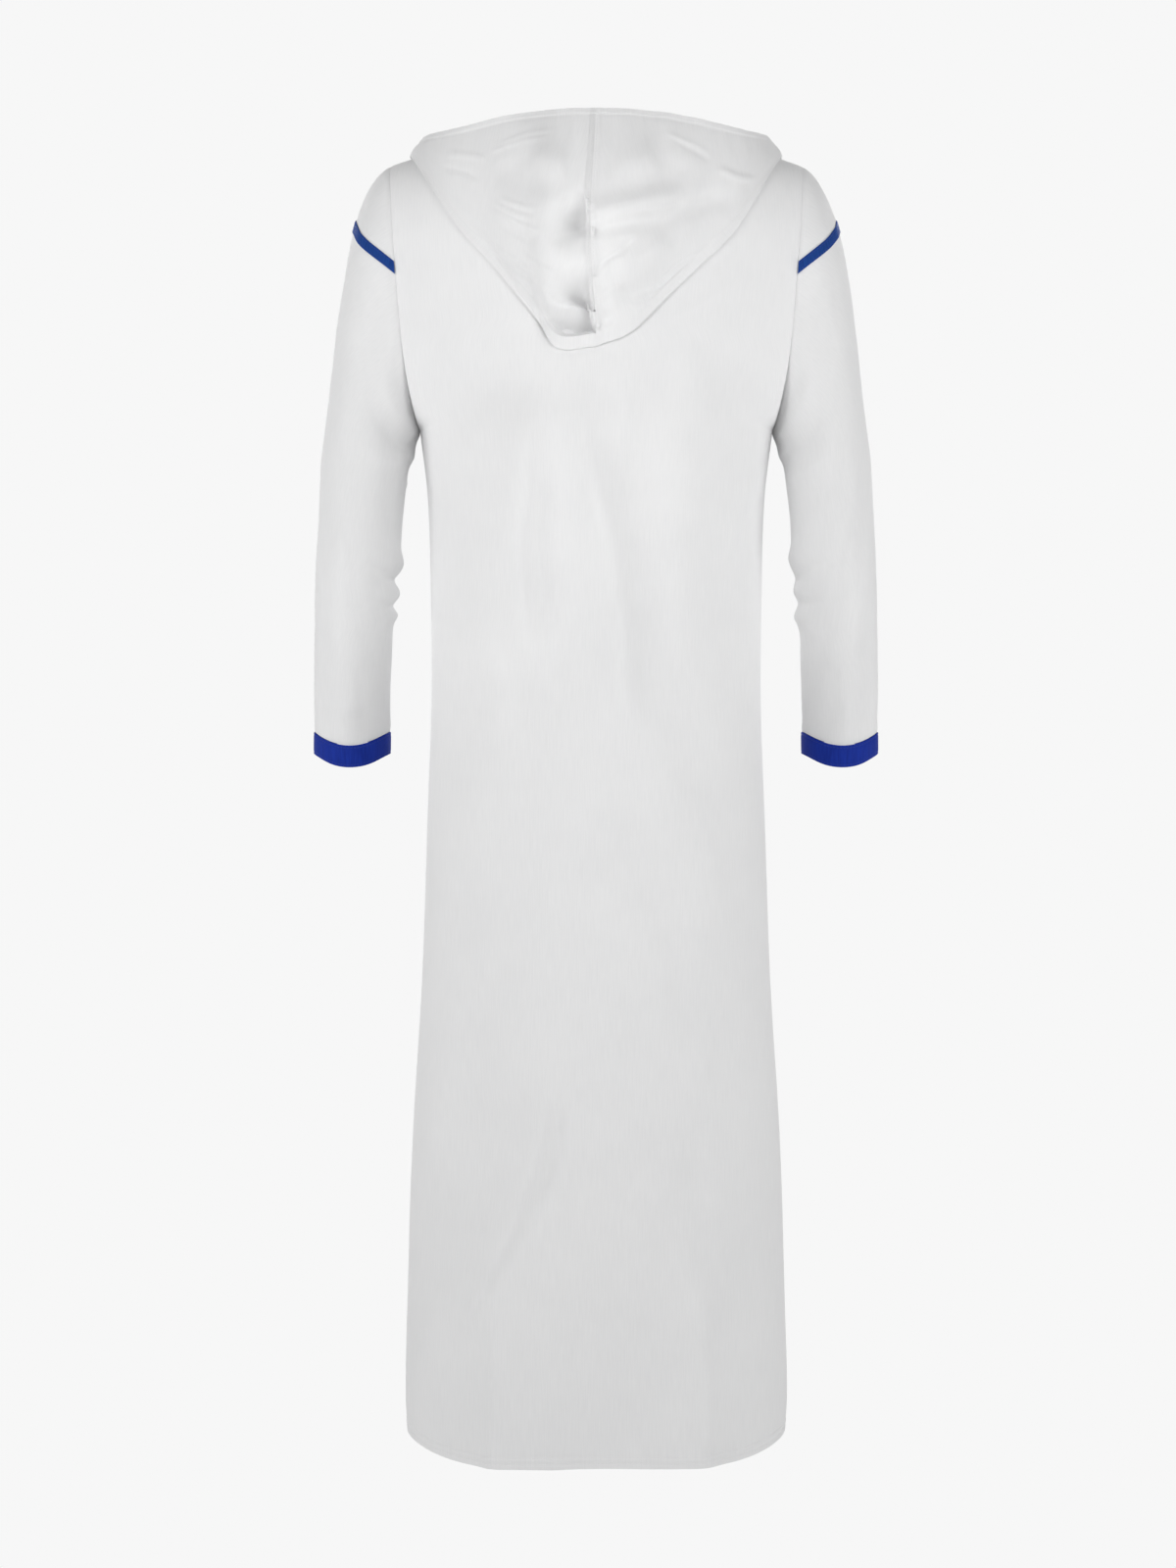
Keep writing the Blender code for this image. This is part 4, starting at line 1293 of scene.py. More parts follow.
@dataclass(frozen=True)
class ArmForm:
    """The form of a sleeve, from the armhole seam over its cap and down to the cuff."""

    body: BodyForm
    elbow_widest_angle: float = 200.0
    cap_outward: float = 0.86
    cap_downward: float = 0.52
    cap_start: tuple[float, float] = (0.008, 0.054)
    cap_end: tuple[float, float] = (0.010, 0.140)
    cap_end_lean: float = 0.127
    seam_spread: float = 10.0
    girth: float = 0.300

    def armhole_point(self, hand: Hand, angle: Array) -> Array:
        """Points of the armhole's edge.

        Args:
            hand: which sleeve.
            angle: degrees round it: 0 at the shoulder, 90 at the back, 180 at the armpit.

        Returns:
            The points.
        """
        turn = np.radians(angle)
        drop = (1.0 - np.cos(turn)) / 2
        across = np.full(np.shape(angle), float(hand.value))
        back = self.body.yoke_point(Side.BACK, across, drop)
        front = self.body.yoke_point(Side.FRONT, across, drop)
        behind = np.sin(turn) >= 0
        point = np.where(behind[..., None], back, front)
        spread = np.minimum(np.abs(np.sin(turn)) * self.seam_spread, 1.0)
        point[..., 1] += np.where(behind, 1.0, -1.0) * SEAM_GAP / 2 * spread
        return point

    def arm_point(self, hand: Hand, angle: Array, height: Array, creased: bool = True) -> Array:
        """Points of the sleeve below the armpit.

        Args:
            hand: which sleeve.
            angle: degrees round the sleeve.
            height: the height of the middle of each point's ring.
            creased: whether the elbow's creases are on it.

        Returns:
            The points.
        """
        turn = np.radians(angle)
        width, depth, centre_x, centre_y, lean = (
            read(ARM_SECTIONS, "height", field, height)
            for field in ("half_width", "half_depth", "centre_x", "centre_y", "lean"))
        lean = np.radians(lean)
        x = centre_x + width * np.cos(turn)
        y = centre_y + depth * np.sin(turn) * np.cos(lean)
        z = height - depth * np.sin(turn) * np.abs(np.sin(turn)) * np.sin(lean)
        if creased:
            bend = np.maximum(np.cos(np.radians(angle - self.elbow_widest_angle)), 0.0) ** 2
            for crease in ELBOWS[hand]:
                lift = crease.rise * bump(height - crease.height, crease.half_height) * bend
                x = x + lift * np.cos(turn)
                y = y + lift * np.sin(turn)
        return points(hand.value * x, y, z)

    def cap_point(self, hand: Hand, angle: Array, share: Array) -> Array:
        """Points of the cap.

        Args:
            hand: which sleeve.
            angle: degrees round it.
            share: 0 at the armhole to 1 at the first arm ring.

        Returns:
            The points.
        """
        top = self.armhole_point(hand, angle)
        top[..., 0] += hand.value * SEAM_GAP
        ring = self.arm_point(hand, angle, ARM_SECTIONS[0].height, creased=False)
        reach = (1.0 + np.cos(np.radians(angle))) / 2
        start = units(points(hand.value * self.cap_outward * np.sqrt(reach), 0.0,
                             -blend(1.0, self.cap_downward, reach)))
        end = points(-hand.value * self.cap_end_lean * reach, 0.0, 1.0)
        second = top + start * blend(*self.cap_start, reach)[..., None]
        third = ring + end * blend(*self.cap_end, reach)[..., None]
        t = share[..., None]
        r = 1.0 - t
        return top * r ** 3 + second * (3 * r * r * t) + third * (3 * r * t * t) + ring * t ** 3


@dataclass
class Sleeve:
    """A long sleeve with its cuff and its slantwise tape."""

    hand: Hand
    form: ArmForm
    thickness: float = 0.0012
    sides: int = 96
    cap_rows: int = 58
    cap_crowding: float = 1.35
    arm_rows: int = 130
    cuff_length: float = 0.024
    cuff_slant: float = 0.02
    cuff_rows: int = 24
    cuff_thickness: float = 0.0018
    cuff_proud: float = 0.0007
    cuff_edge: float = 0.0012
    cuff_row: float = 0.0028
    cuff_dent: float = 0.0004
    cuff_dent_width: float = 0.0009
    cuff_ripple: float = 0.0005
    cuff_waves: tuple[Place, ...] = ((5.0, 1.1), (2.0, 0.4))
    tape_width: float = 0.0128
    tape_thickness: float = 0.0009
    tape_lift: float = 0.0004
    tape_stations: int = 110
    tape_back_height: float = -0.120
    tape_side_height: float = -0.0675
    tape_back_power: float = 1.15
    tape_front_height: float = -0.036
    tape_front_power: float = 1.4
    tape_axis_out: float = 0.0006
    tape_far: float = 0.2
    tape_lanes: tuple[float, ...] = (-1.0, -0.86, -0.60, -0.30, 0.0, 0.30, 0.60, 0.86, 1.0)
    tape_stitch_lanes: tuple[int, int] = (2, 6)
    tape_edge: float = 0.0012
    tape_edge_share: float = 0.55
    seam_tuck: float = 0.0007
    seam_tuck_width: float = 0.0024
    underarm_width: float = 0.0016
    underarm_fade: float = 0.01
    top_fade: float = 0.016
    end_fade: float = 0.014
    slack_seeds: tuple[int, int] = (11, 12)
    slack_height: float = 0.0003
    slack_skew: float = 0.7

    def angles(self) -> Array:
        """The angles of a ring's points."""
        return np.arange(self.sides) * 360.0 / self.sides

    def sheet(self) -> Sheet:
        """Shape the sleeve's cloth, from the armhole to the cuff.

        Returns:
            The cloth.
        """
        angles = self.angles()[None, :]
        share = ((np.arange(self.cap_rows) / self.cap_rows) ** self.cap_crowding)[:, None]
        cap = self.form.cap_point(self.hand, *np.broadcast_arrays(angles, share))
        heights = np.linspace(ARM_SECTIONS[0].height, ARM_SECTIONS[-2].height, self.arm_rows + 1)[:, None]
        arm = self.form.arm_point(self.hand, *np.broadcast_arrays(angles, heights))
        grid = np.concatenate([cap, arm])
        sheet = Sheet(f"sleeve_{self.hand.word}_cloth", grid, self.thickness, True, -self.hand.value)
        round_it = np.broadcast_to((angles - 180.0) / 360.0 * self.form.girth, grid.shape[:2])
        run = run_of(grid)
        left = run[-1:] - run
        slack = Slack(self.slack_seeds[self.hand is Hand.RIGHT], self.slack_height)
        lift = lift_all(SLEEVE_FOLDS[self.hand], round_it, grid[..., 2])
        lift = lift + slack.lift(self.slack_skew * grid[..., 0] + grid[..., 1], grid[..., 2])
        lift = lift * ease(run / self.top_fade) * ease(left / self.end_fade)
        underarm = bump(round_it, self.underarm_width) * ease(run / self.underarm_fade)
        lift = lift - self.seam_tuck * (bump(left, self.seam_tuck_width) + underarm)
        seam = self.form.body.armhole_out(grid[0])
        tuck = seam[None] * (self.seam_tuck * bump(run, self.seam_tuck_width))[..., None]
        sheet.grid = grid + sheet.normals() * lift[..., None] - tuck
        sheet.walls = sheet.normals()
        sheet.walls[0] = seam
        return sheet

    def cuff_sheet(self) -> Sheet:
        """Shape the cuff's band, sewn to the sleeve's end.

        Returns:
            The band.
        """
        top = ARM_SECTIONS[-2]
        lean = math.radians(top.lean)
        along = (SEAM_GAP + self.cuff_length * np.arange(self.cuff_rows + 1) / self.cuff_rows)[:, None]
        angles, along = np.broadcast_arrays(self.angles()[None, :], along)
        grid = self.form.arm_point(self.hand, angles, top.height, creased=False)
        grid = grid + points(self.hand.value * self.cuff_slant * along, -along * math.sin(lean),
                             -along * math.cos(lean))
        sheet = Sheet(f"cuff_{self.hand.word}_band", grid, self.cuff_thickness, True, -self.hand.value)
        left = self.cuff_length + SEAM_GAP - along
        lift = self.cuff_proud * ease((along - SEAM_GAP) / self.cuff_edge) * ease(left / self.cuff_edge)
        lift = lift - self.cuff_dent * (bump(along - self.cuff_row, self.cuff_dent_width)
                                        + bump(left - self.cuff_row, self.cuff_dent_width))
        turns = np.radians(angles)
        ripple = np.prod([np.sin(turns * count + phase) for count, phase in self.cuff_waves], axis=0)
        lift = lift + self.cuff_ripple * ripple * ease(along / self.cuff_length)
        sheet.grid = grid + sheet.normals() * lift[..., None]
        return sheet

    def cuff_lines(self, sheet: Sheet) -> Rows:
        """Find where the cuff's two rows of stitches run.

        Args:
            sheet: the cuff's band.

        Returns:
            The rows of stitches.
        """
        first = int(round(self.cuff_row * self.cuff_rows / self.cuff_length))
        return [tuple(np.concatenate([grid[row], grid[row, :1]]) for grid in (sheet.grid, sheet.normals()))
                for row in (first, self.cuff_rows - first)]

    def tape_height(self, turn: Array) -> Array:
        """Height of the tape's middle.

        Args:
            turn: the turn round the arm: a right angle at the back, and less than 0 in front.

        Returns:
            The heights.
        """
        back_share = (1.0 - np.cos(turn)) ** self.tape_back_power
        front_share = np.maximum(np.sin(-turn), 0.0) ** self.tape_front_power
        return np.where(turn >= 0.0, blend(self.tape_side_height, self.tape_back_height, back_share),
                        blend(self.tape_side_height, self.tape_front_height, front_share))

    def tape_sheet(self, sleeve: bpy.types.Object) -> Sheet:
        """Lay the tape slantwise over the cap, from armhole seam to armhole seam.

        Args:
            sleeve: the sleeve, as built.

        Returns:
            The tape.
        """
        corners = [v.co for v in sleeve.data.vertices]
        surface = BVHTree.FromPolygons(corners, [tuple(p.vertices) for p in sleeve.data.polygons])
        hand, body = self.hand.value, self.form.body
        turns = np.radians(np.linspace(-90.0, 90.0, self.tape_stations + 1))
        rows = []
        for offset in np.array(self.tape_lanes) * self.tape_width / 2:
            edge = float(ease((self.tape_width / 2 - abs(offset)) / self.tape_edge))
            lift = self.tape_lift + self.tape_thickness * blend(self.tape_edge_share, 1.0, edge)
            row = []
            for turn, middle in zip(turns, self.tape_height(turns)):
                height = float(middle + offset)
                drop = body.place_of(body.shoulder_half_width, height)[1]
                ray = Vector((hand * math.cos(turn), math.sin(turn), 0.0))
                axis = Vector((hand * (float(body.armhole_x(drop)) + self.tape_axis_out), 0.0, height))
                place, face = surface.ray_cast(axis + ray * self.tape_far, -ray)[:2]
                row.append(list(place + face * lift))
            rows.append(row)
        return Sheet(f"sleeve_tape_{self.hand.word}_band", np.array(rows), self.tape_thickness, facing=hand)

    def tape_lines(self, sheet: Sheet) -> Rows:
        """The lines of the stitches along the tape's two edges."""
        normals = sheet.normals()
        return [(sheet.grid[row], normals[row]) for row in self.tape_stitch_lanes]

    def build(self, room: Workroom) -> list[bpy.types.Object]:
        """Build and dress the sleeve, its cuff, its tape and the stitches on both.

        Args:
            room: the workroom.

        Returns:
            The pieces.
        """
        hand = self.hand
        sleeve = room.dress(self.sheet(), WHITE_CLOTH, "sleeve", hand, "back_cloth")
        band = self.cuff_sheet()
        band_stitches = room.stitch(f"cuff_{hand.word}_stitches", self.cuff_lines(band), BLUE_THREAD)
        cuff = room.dress(band, CUFF_CLOTH, "cuff", hand, sleeve.name, band_stitches)
        strip = self.tape_sheet(sleeve)
        strip_stitches = room.stitch(f"tape_{hand.word}_stitches", self.tape_lines(strip), BLUE_THREAD)
        tape = room.dress(strip, TAPE_CLOTH, "sleeve_tape", hand, sleeve.name, strip_stitches)
        return [sleeve, band_stitches, cuff, strip_stitches, tape]


# ---------------------------------------------------------------- hood
@dataclass(frozen=True)
class TurnStation:
    """Where the hood's pouch turns under, by the angle round the neck from centre back.

    Clearance is how far the layer under it lies off the robe, and radius is that of the turn.
    """

    angle: float
    x: float
    left_height: float
    right_height: float
    clearance: float
    radius: float


HOOD_TURN = (
    TurnStation(0.0, 0.000, -0.209, -0.209, 0.0006, 0.0022),
    TurnStation(12.0, 0.036, -0.209, -0.192, 0.0006, 0.0020),
    TurnStation(25.0, 0.070, -0.166, -0.158, 0.0006, 0.0014),
    TurnStation(38.0, 0.102, -0.126, -0.126, 0.0006, 0.0010),
    TurnStation(50.0, 0.132, -0.092, -0.096, 0.0006, 0.0010),
    TurnStation(62.0, 0.156, -0.056, -0.058, 0.0006, 0.0010),
    TurnStation(72.0, 0.173, -0.026, -0.026, 0.0008, 0.0014),
    TurnStation(81.0, 0.184, -0.008, -0.008, 0.0010, 0.0019),
    TurnStation(90.0, 0.1885, 0.0006, 0.0006, 0.0012, 0.0022),
    TurnStation(99.0, 0.184, -0.008, -0.008, 0.0016, 0.0024),
    TurnStation(112.0, 0.168, -0.026, -0.026, 0.0030, 0.0034),
    TurnStation(140.0, 0.118, -0.048, -0.048, 0.0040, 0.0045),
    TurnStation(165.0, 0.050, -0.080, -0.080, 0.0040, 0.0045),
    TurnStation(180.0, 0.000, -0.092, -0.092, 0.0040, 0.0045),
)
# Folds that run across both halves of the hood.
HOOD_FOLDS = (
    fold(-2.2, 14, 18, (92, -22), (80, -42), (60, -55), (34, -64), (10, -68), fades=(0.2, 0.8)),
    fold(-2.4, 18, 14, (-92, -22), (-82, -41), (-64, -53), (-38, -61), (-10, -67), fades=(0.2, 0.8)),
    fold(2, 14, 12, (80, -52), (40, -73), (-8, -79), (-52, -70), (-86, -54)),
    fold(3, 16, 16, (66, -22), (40, -32), (16, -34), fades=(0.3, 0.3)),
    fold(3, 16, 16, (-66, -22), (-40, -32), (-16, -34), fades=(0.3, 0.3)),
    fold(-1.6, 4, 7, (-150, 6), (-80, 19), (0, 25), (80, 19), (150, 6)),
)
# Folds of one half only, which meet the other half at the centre seam.
HALF_FOLDS = {
    Hand.LEFT: (
        fold(-22, 20, 10, (0, -93), (14, -96), (30, -102), (46, -104), fades=(0.01, 0.78)),
        fold(-3.4, 10, 12, (2, -113), (22, -112), (46, -104), fades=(0.1, 0.6)),
        fold(1.1, 3, 3, (95, -62), (74, -72.5), (50, -80)),
        fold(1.3, 3, 3.4, (99, -66), (76.6, -80.4), (50, -90.5)),
        fold(1.6, 3.4, 3.4, (99, -74), (74, -89.6), (46, -104)),
        fold(-1.6, 4, 5, (90, -90), (70, -102), (50, -113)),
        fold(2, 3.6, 4, (98, -110), (74, -127.6), (50, -145)),
        fold(-2.4, 3.6, 4, (87.1, -125.1), (66, -140.8), (39.8, -156.6)),
        fold(2, 3.6, 3.6, (70, -118), (50.3, -134.2), (29.3, -146.1)),
        fold(-20.5, 19, 7.5, (0, -169), (14, -164), (30, -159), (56, -154), fades=(0.01, 0.66)),
        fold(5, 3.6, 3.6, (33, -168), (16, -171), (0, -173), fades=(0.3, 0.01)),
        fold(-22, 27, 6.5, (0, -197), (15, -200), (34, -193), (60, -174), fades=(0.01, 0.52)),
        fold(3, 5, 5, (0, -203), (17, -206), (36, -200), (50, -186), (64, -162), fades=(0.01, 0.5)),
        fold(1.4, 4, 4, (92.4, -138.2), (71.3, -167.1), (64, -193)),
        fold(-1.2, 4, 4, (84, -140), (64, -164), (56, -188)),
        fold(0.6, 2.6, 2.6, (100, -11), (66, -1.3), (34.5, 1.7)),
        fold(0.6, 2.6, 3, (106, -18), (74, -9), (40, -6)),
        fold(-1, 3.6, 3.6, (154, -24), (129, -33), (112, -44)),
        fold(0.9, 4, 4, (150, -11), (120, -18), (105, -24)),
    ),
    Hand.RIGHT: (
        fold(3, 12, 10, (-92, -56), (-52.3, -72), (-4, -88), fades=(0.25, 0.02)),
        fold(-4, 7, 8, (-76, -80), (-36, -93), (-2, -100), fades=(0.5, 0.01)),
        fold(1.4, 2.6, 3, (-86, -70), (-56, -80), (-30, -86)),
        fold(-4.4, 9, 10, (-144.2, -51.5), (-96.9, -72.5), (-65.3, -88.3), (-33.8, -99)),
        fold(-2.8, 2.8, 3.4, (-45, -103), (-28.6, -119.7), (-10.2, -130.3), (0, -142), fades=(0.3, 0.02)),
        fold(3.4, 10, 9, (-80, -104), (-50, -122), (-20, -138)),
        fold(-6.4, 9, 9, (-104.8, -117.2), (-91.7, -127.6), (-52.3, -151.4), (-15, -166)),
        fold(2, 3, 3, (-36, -150), (-16, -156), (0, -168), fades=(0.3, 0.05)),
        fold(2.4, 5, 5, (-100, -132), (-70, -154), (-35, -176)),
        fold(-2.6, 4, 4, (-133.7, -101.4), (-117.9, -127.6), (-91.7, -148.8), (-68, -164.5),
             (-46.9, -177.7), (-25.9, -193)),
        fold(-4, 7, 7, (-12, -172), (-8, -182), (0, -190), fades=(0.4, 0.05)),
        fold(0.6, 2.6, 2.6, (-65.3, 1.2), (-96.9, -9.4), (-112.7, -17.3)),
        fold(-0.7, 3, 3, (-76, -6), (-100, -17), (-116, -26)),
        fold(1.6, 4, 4, (-118, -29), (-138, -37), (-160, -36)),
    ),
}


@dataclass(frozen=True)
class HoodForm:
    """The form of the hood: a stand at the neckline, a layer down the back, a turned pouch, a free rim."""

    body: BodyForm
    rim_half_width: float = 0.178
    rim_back: float = 0.135
    rim_front: float = 0.124
    rim_back_height: float = 0.024
    rim_side_height: float = 0.0205
    rim_front_height: float = -0.046
    rim_front_power: float = 2.2
    rim_dip: float = 0.0072
    rim_dip_angle: float = 52.0
    rim_dip_spread: float = 26.0
    layer_gap: float = 0.0026
    stand: float = 0.008
    stand_out: float = 0.001
    seam_lean: float = 2.0
    bulge: float = 0.030
    bulge_share_back: float = 0.14
    bulge_share_side: float = 0.05
    bulge_end: float = 50.0
    bulge_low: float = 0.95
    near_back: float = 0.05
    near_side: float = 0.16
    side_radius_share: float = 0.5
    seam_drift: float = 0.0060
    drift_height: float = -0.090
    drift_reach: float = 0.080
    drift_end: float = 60.0
    drift_fade: float = 50.0
    folds_end: float = 100.0
    folds_fade: float = 30.0
    turn_fade: float = 0.007
    rim_fade: float = 0.8
    rim_fold_share: float = 0.3
    gap_end: float = 80.0
    gap_softness: float = 0.0016
    seam_hold: float = 0.003
    turn_place: float = 7.0
    rim_place: float = 12.0
    under: tuple[Place, ...] = ((0.10, 0.010), (0.30, 0.008))
    close_shares: tuple[float, ...] = (0.65, 0.93)
    outer_shares: tuple[float, ...] = (0.2, 0.4, 0.6, 0.8)

    def neck_point(self, side: Side, angle: Array) -> Array:
        """Points of the neckline's edge.

        Args:
            side: the back or the front.
            angle: degrees round the neck from centre back.

        Returns:
            The points.
        """
        quarter = np.radians(angle if side is Side.BACK else 180.0 - angle)
        share = self.body.neck_half_width / self.body.shoulder_half_width
        return self.body.panel_point(side, share * np.sin(quarter), np.full(np.shape(angle), 2.0))

    def rim_point(self, angle: Array) -> Array:
        """Points of the hood's free edge.

        Args:
            angle: degrees round the neck from centre back.

        Returns:
            The points.
        """
        turn = np.radians(angle)
        behind = angle <= 90.0
        ahead = np.maximum(-np.cos(turn), 0.0)
        y = np.where(behind, self.rim_back * np.cos(turn), -self.rim_front * ahead)
        z = np.where(behind, blend(self.rim_side_height, self.rim_back_height, np.cos(turn)),
                     blend(self.rim_side_height, self.rim_front_height, ahead ** self.rim_front_power))
        z = z - self.rim_dip * bump(angle - self.rim_dip_angle, self.rim_dip_spread)
        return points(self.rim_half_width * np.sin(turn), y, z)

    def strips(self, side: Side, hand: Hand, angle: Array) -> Array:
        """The points that strips of the hood pass, from neck seam over the pouch's turn to the rim.

        Args:
            side: the back or the front of the neck.
            hand: which half of the hood.
            angle: each strip's angle round the neck from centre back, all on that side.

        Returns:
            The points, as strips, points, 3.
        """
        turn = np.radians(angle)
        neck = self.neck_point(side, angle)
        turn_x, turn_height, clearance, radius = (
            read(HOOD_TURN, "angle", field, angle)
            for field in ("x", f"{hand.word}_height", "clearance", "radius"))
        neck_across, neck_fall = self.body.place_of(neck[..., 0], neck[..., 2])
        turn_across, turn_fall = self.body.place_of(turn_x, turn_height)
        out = points(np.sin(turn), np.cos(turn), 0.0)
        sideways = np.sin(turn) ** 2

        def lying(share: float, lift: Array | float) -> Array:
            """Points of the layer that lies on the robe.

            Args:
                share: 0 at the neck seam to 1 at the pouch's turn.
                lift: how far it is off the robe.

            Returns:
                The points.
            """
            across = blend(neck_across, turn_across, share)
            drop = np.maximum(blend(neck_fall, turn_fall, share), 0.0)
            layer = self.body.stand_off(side, hand.value * across, drop, np.broadcast_to(lift, drop.shape))
            return layer * np.array([hand.value, 1.0, 1.0])

        rim = self.rim_point(angle)
        length = np.linalg.norm(lying(1.0, 0.0) - rim, axis=-1)
        share = blend(self.bulge_share_back, self.bulge_share_side, ease(angle / self.bulge_end))
        bulge = np.minimum(share * length, self.bulge)[..., None]
        low = lying(1.0, clearance + radius)
        near = blend(low, rim, blend(self.near_back, self.near_side, sideways)[..., None])
        near = near + out * (radius * blend(1.0, self.side_radius_share, sideways))[..., None]
        lean = neck * np.array([-self.seam_lean, -self.seam_lean, 0.0])
        start = neck + units(np.array([0.0, 0.0, 1.0]) + lean) * SLANT_GAP
        strip = [start, start + np.array([0.0, 0.0, self.stand]) + out * self.stand_out]
        strip += [lying(share, lift) for share, lift in self.under]
        strip += [lying(share, clearance) for share in self.close_shares]
        strip += [low, near]
        strip += [blend(near, rim, share) + out * bulge * math.sin(math.pi * share ** self.bulge_low)
                  for share in self.outer_shares]
        return np.stack(strip + [rim], axis=1)

    def surface(self, hand: Hand, angle: Array, places: Array) -> Array:
        """Shape one half of the hood.

        Args:
            hand: which half.
            angle: degrees round the neck from centre back.
            places: places along its strips, from the neck seam to the rim.

        Returns:
            The grid, as places, strips, 3.
        """
        behind = angle <= 90.0
        strips = np.concatenate([self.strips(Side.BACK, hand, angle[behind]),
                                 self.strips(Side.FRONT, hand, angle[~behind])])
        grid = strand(strips, places)
        turn = np.radians(angle)
        out = points(np.sin(turn), np.cos(turn), 0.0)[None]
        at = places[:, None]
        run = run_of(grid)
        outer = ease((run - run[int(np.argmax(places >= self.turn_place))]) / self.turn_fade)
        outer = outer * ease((self.rim_place - at) / self.rim_fade + self.rim_fold_share)
        outer = outer * ease((self.folds_end - angle) / self.folds_fade)[None, :]
        x, z = hand.value * grid[..., 0], grid[..., 2]
        own = lift_all(HALF_FOLDS[hand], x, z) * ease(grid[..., 0] / self.seam_hold)
        lift = (lift_all(HOOD_FOLDS, x, z) + own) * outer
        grid = grid + out * lift[..., None]
        across, drop = self.body.place_of(grid[..., 0], grid[..., 2])
        cloth = self.body.yoke_point(Side.BACK, hand.value * np.clip(across, 0.0, 1.0), drop)[..., 1]
        clear = grid[..., 1] - cloth - self.layer_gap
        push = (np.hypot(clear, self.gap_softness) - clear) / 2 * ease(at - self.turn_place)
        grid[..., 1] += np.where((at > self.turn_place) & (angle < self.gap_end)[None, :], push, 0.0)
        grid[..., 0] = hand.value * (grid[..., 0] + SEAM_GAP / 2)
        drift = bump(grid[..., 2] - self.drift_height, self.drift_reach) * ease(at - self.turn_place)
        grid[..., 0] += self.seam_drift * drift * ease((self.drift_end - angle) / self.drift_fade)[None, :]
        return grid


@dataclass
class Hood:
    """The two halves of the hood, sewn along the centre seam."""

    form: HoodForm
    hem: Hem
    thickness: float = 0.0007
    steps: tuple[tuple[float, float, float], ...] = ((0.0, 30.0, 0.6), (30.0, 60.0, 1.0), (60.0, 180.1, 1.5))
    under_rows: int = 54
    outer_rows: int = 104
    rim_rows: int = 15
    rim_band: float = 0.30
    seam_groove: float = 0.0004
    seam_width: float = 0.0016
    seam_stitch: float = 0.0036
    seam_stitch_start: int = 4
    allowance_proud: float = 0.0004
    allowance_margin: float = 0.0016
    allowance_edge: float = 0.001
    slack_seeds: tuple[int, int] = (21, 23)
    slack_height: float = 0.0002
    slack_lengths: Place = (0.024, 0.06)
    slack_fade: float = 0.02
    slack_places: float = 1.5
    slack_skew: float = 0.6

    def angles(self) -> Array:
        """Angles round the neck, from centre back to centre front, closer together at the back."""
        return np.concatenate([np.arange(*step) for step in self.steps])

    def places(self) -> Array:
        """Set out the rows from the neck seam to the free edge, closer together at the rim's hem.

        Returns:
            Places along the hood's strips.
        """
        under = np.linspace(0.0, self.form.turn_place, self.under_rows + 1)
        outer = np.linspace(self.form.turn_place, self.form.rim_place - self.rim_band, self.outer_rows)
        rim = np.linspace(self.form.rim_place - self.rim_band, self.form.rim_place, self.rim_rows)
        return np.concatenate([under, outer[1:], rim[1:]])

    def sheet(self, hand: Hand) -> Sheet:
        """Shape one half's cloth, with its folds, its centre seam and its hemmed rim.

        Args:
            hand: which half.

        Returns:
            The cloth.
        """
        grid = self.form.surface(hand, self.angles(), self.places())
        sheet = Sheet(f"hood_{hand.word}_cloth", grid, self.thickness, facing=-hand.value)
        run = run_of(grid)
        from_seam = run_of(grid, axis=1)
        shortest, longest = self.slack_lengths
        slack = Slack(self.slack_seeds[hand is Hand.RIGHT], self.slack_height, shortest=shortest,
                      longest=longest)
        lift = slack.lift(grid[..., 0] + self.slack_skew * grid[..., 1], grid[..., 2])
        lift = lift * ease(from_seam / self.slack_fade)
        lift = lift * ease((self.places()[:, None] - self.form.turn_place) / self.slack_places)
        lift = lift + self.hem.lift(run[-1:] - run) - self.seam_groove * bump(from_seam, self.seam_width)
        allowance = self.seam_stitch + self.allowance_margin - from_seam
        lift = lift + self.allowance_proud * ease(allowance / self.allowance_edge)
        sheet.grid = grid + sheet.normals() * lift[..., None]
        sheet.walls = sheet.normals()
        sheet.walls[:, [0, -1], 0] = 0.0
        return sheet

    def lines(self, sheet: Sheet) -> Rows:
        """Find where the stitches run along the rim and beside the centre seam.

        Args:
            sheet: one half's cloth.

        Returns:
            The rows of stitches.
        """
        normals = sheet.normals()
        from_rim = run_of(sheet.grid[::-1, 0])
        rim = len(sheet.grid) - 1 - int(np.argmin(np.abs(from_rim - self.hem.rows[0])))
        first = self.under_rows + self.seam_stitch_start
        column = int(np.argmin(np.abs(run_of(sheet.grid[first]) - self.seam_stitch)))
        return [(sheet.grid[rim], normals[rim]), (sheet.grid[first:, column], normals[first:, column])]

    def build(self, room: Workroom) -> list[bpy.types.Object]:
        """Build and dress both halves and the stitches on them.

        Args:
            room: the workroom.

        Returns:
            The pieces.
        """
        pieces = []
        for hand in Hand:
            sheet = self.sheet(hand)
            stitches = room.stitch(f"hood_{hand.word}_stitches", self.lines(sheet), WHITE_THREAD)
            pieces += [stitches, room.dress(sheet, WHITE_CLOTH, "hood", hand, "back_cloth", stitches)]
        return pieces


# ---------------------------------------------------------------- studio
@dataclass(frozen=True)
class SoftLight:
    """A large lamp: its place, what it points at, its size and its power."""

    name: str
    place: Spot
    target: Spot
    size: float
    power: float

    def hang(self) -> None:
        """Add the lamp to the scene."""
        data = bpy.data.lights.new(self.name, "AREA")
        data.shape = "DISK"
        data.size = self.size
        data.energy = self.power
        lamp = link(self.name, data)
        lamp.location = self.place
        way = Vector(self.target) - Vector(self.place)
        lamp.rotation_euler = way.to_track_quat("-Z", "Y").to_euler()
        lamp.visible_camera = False


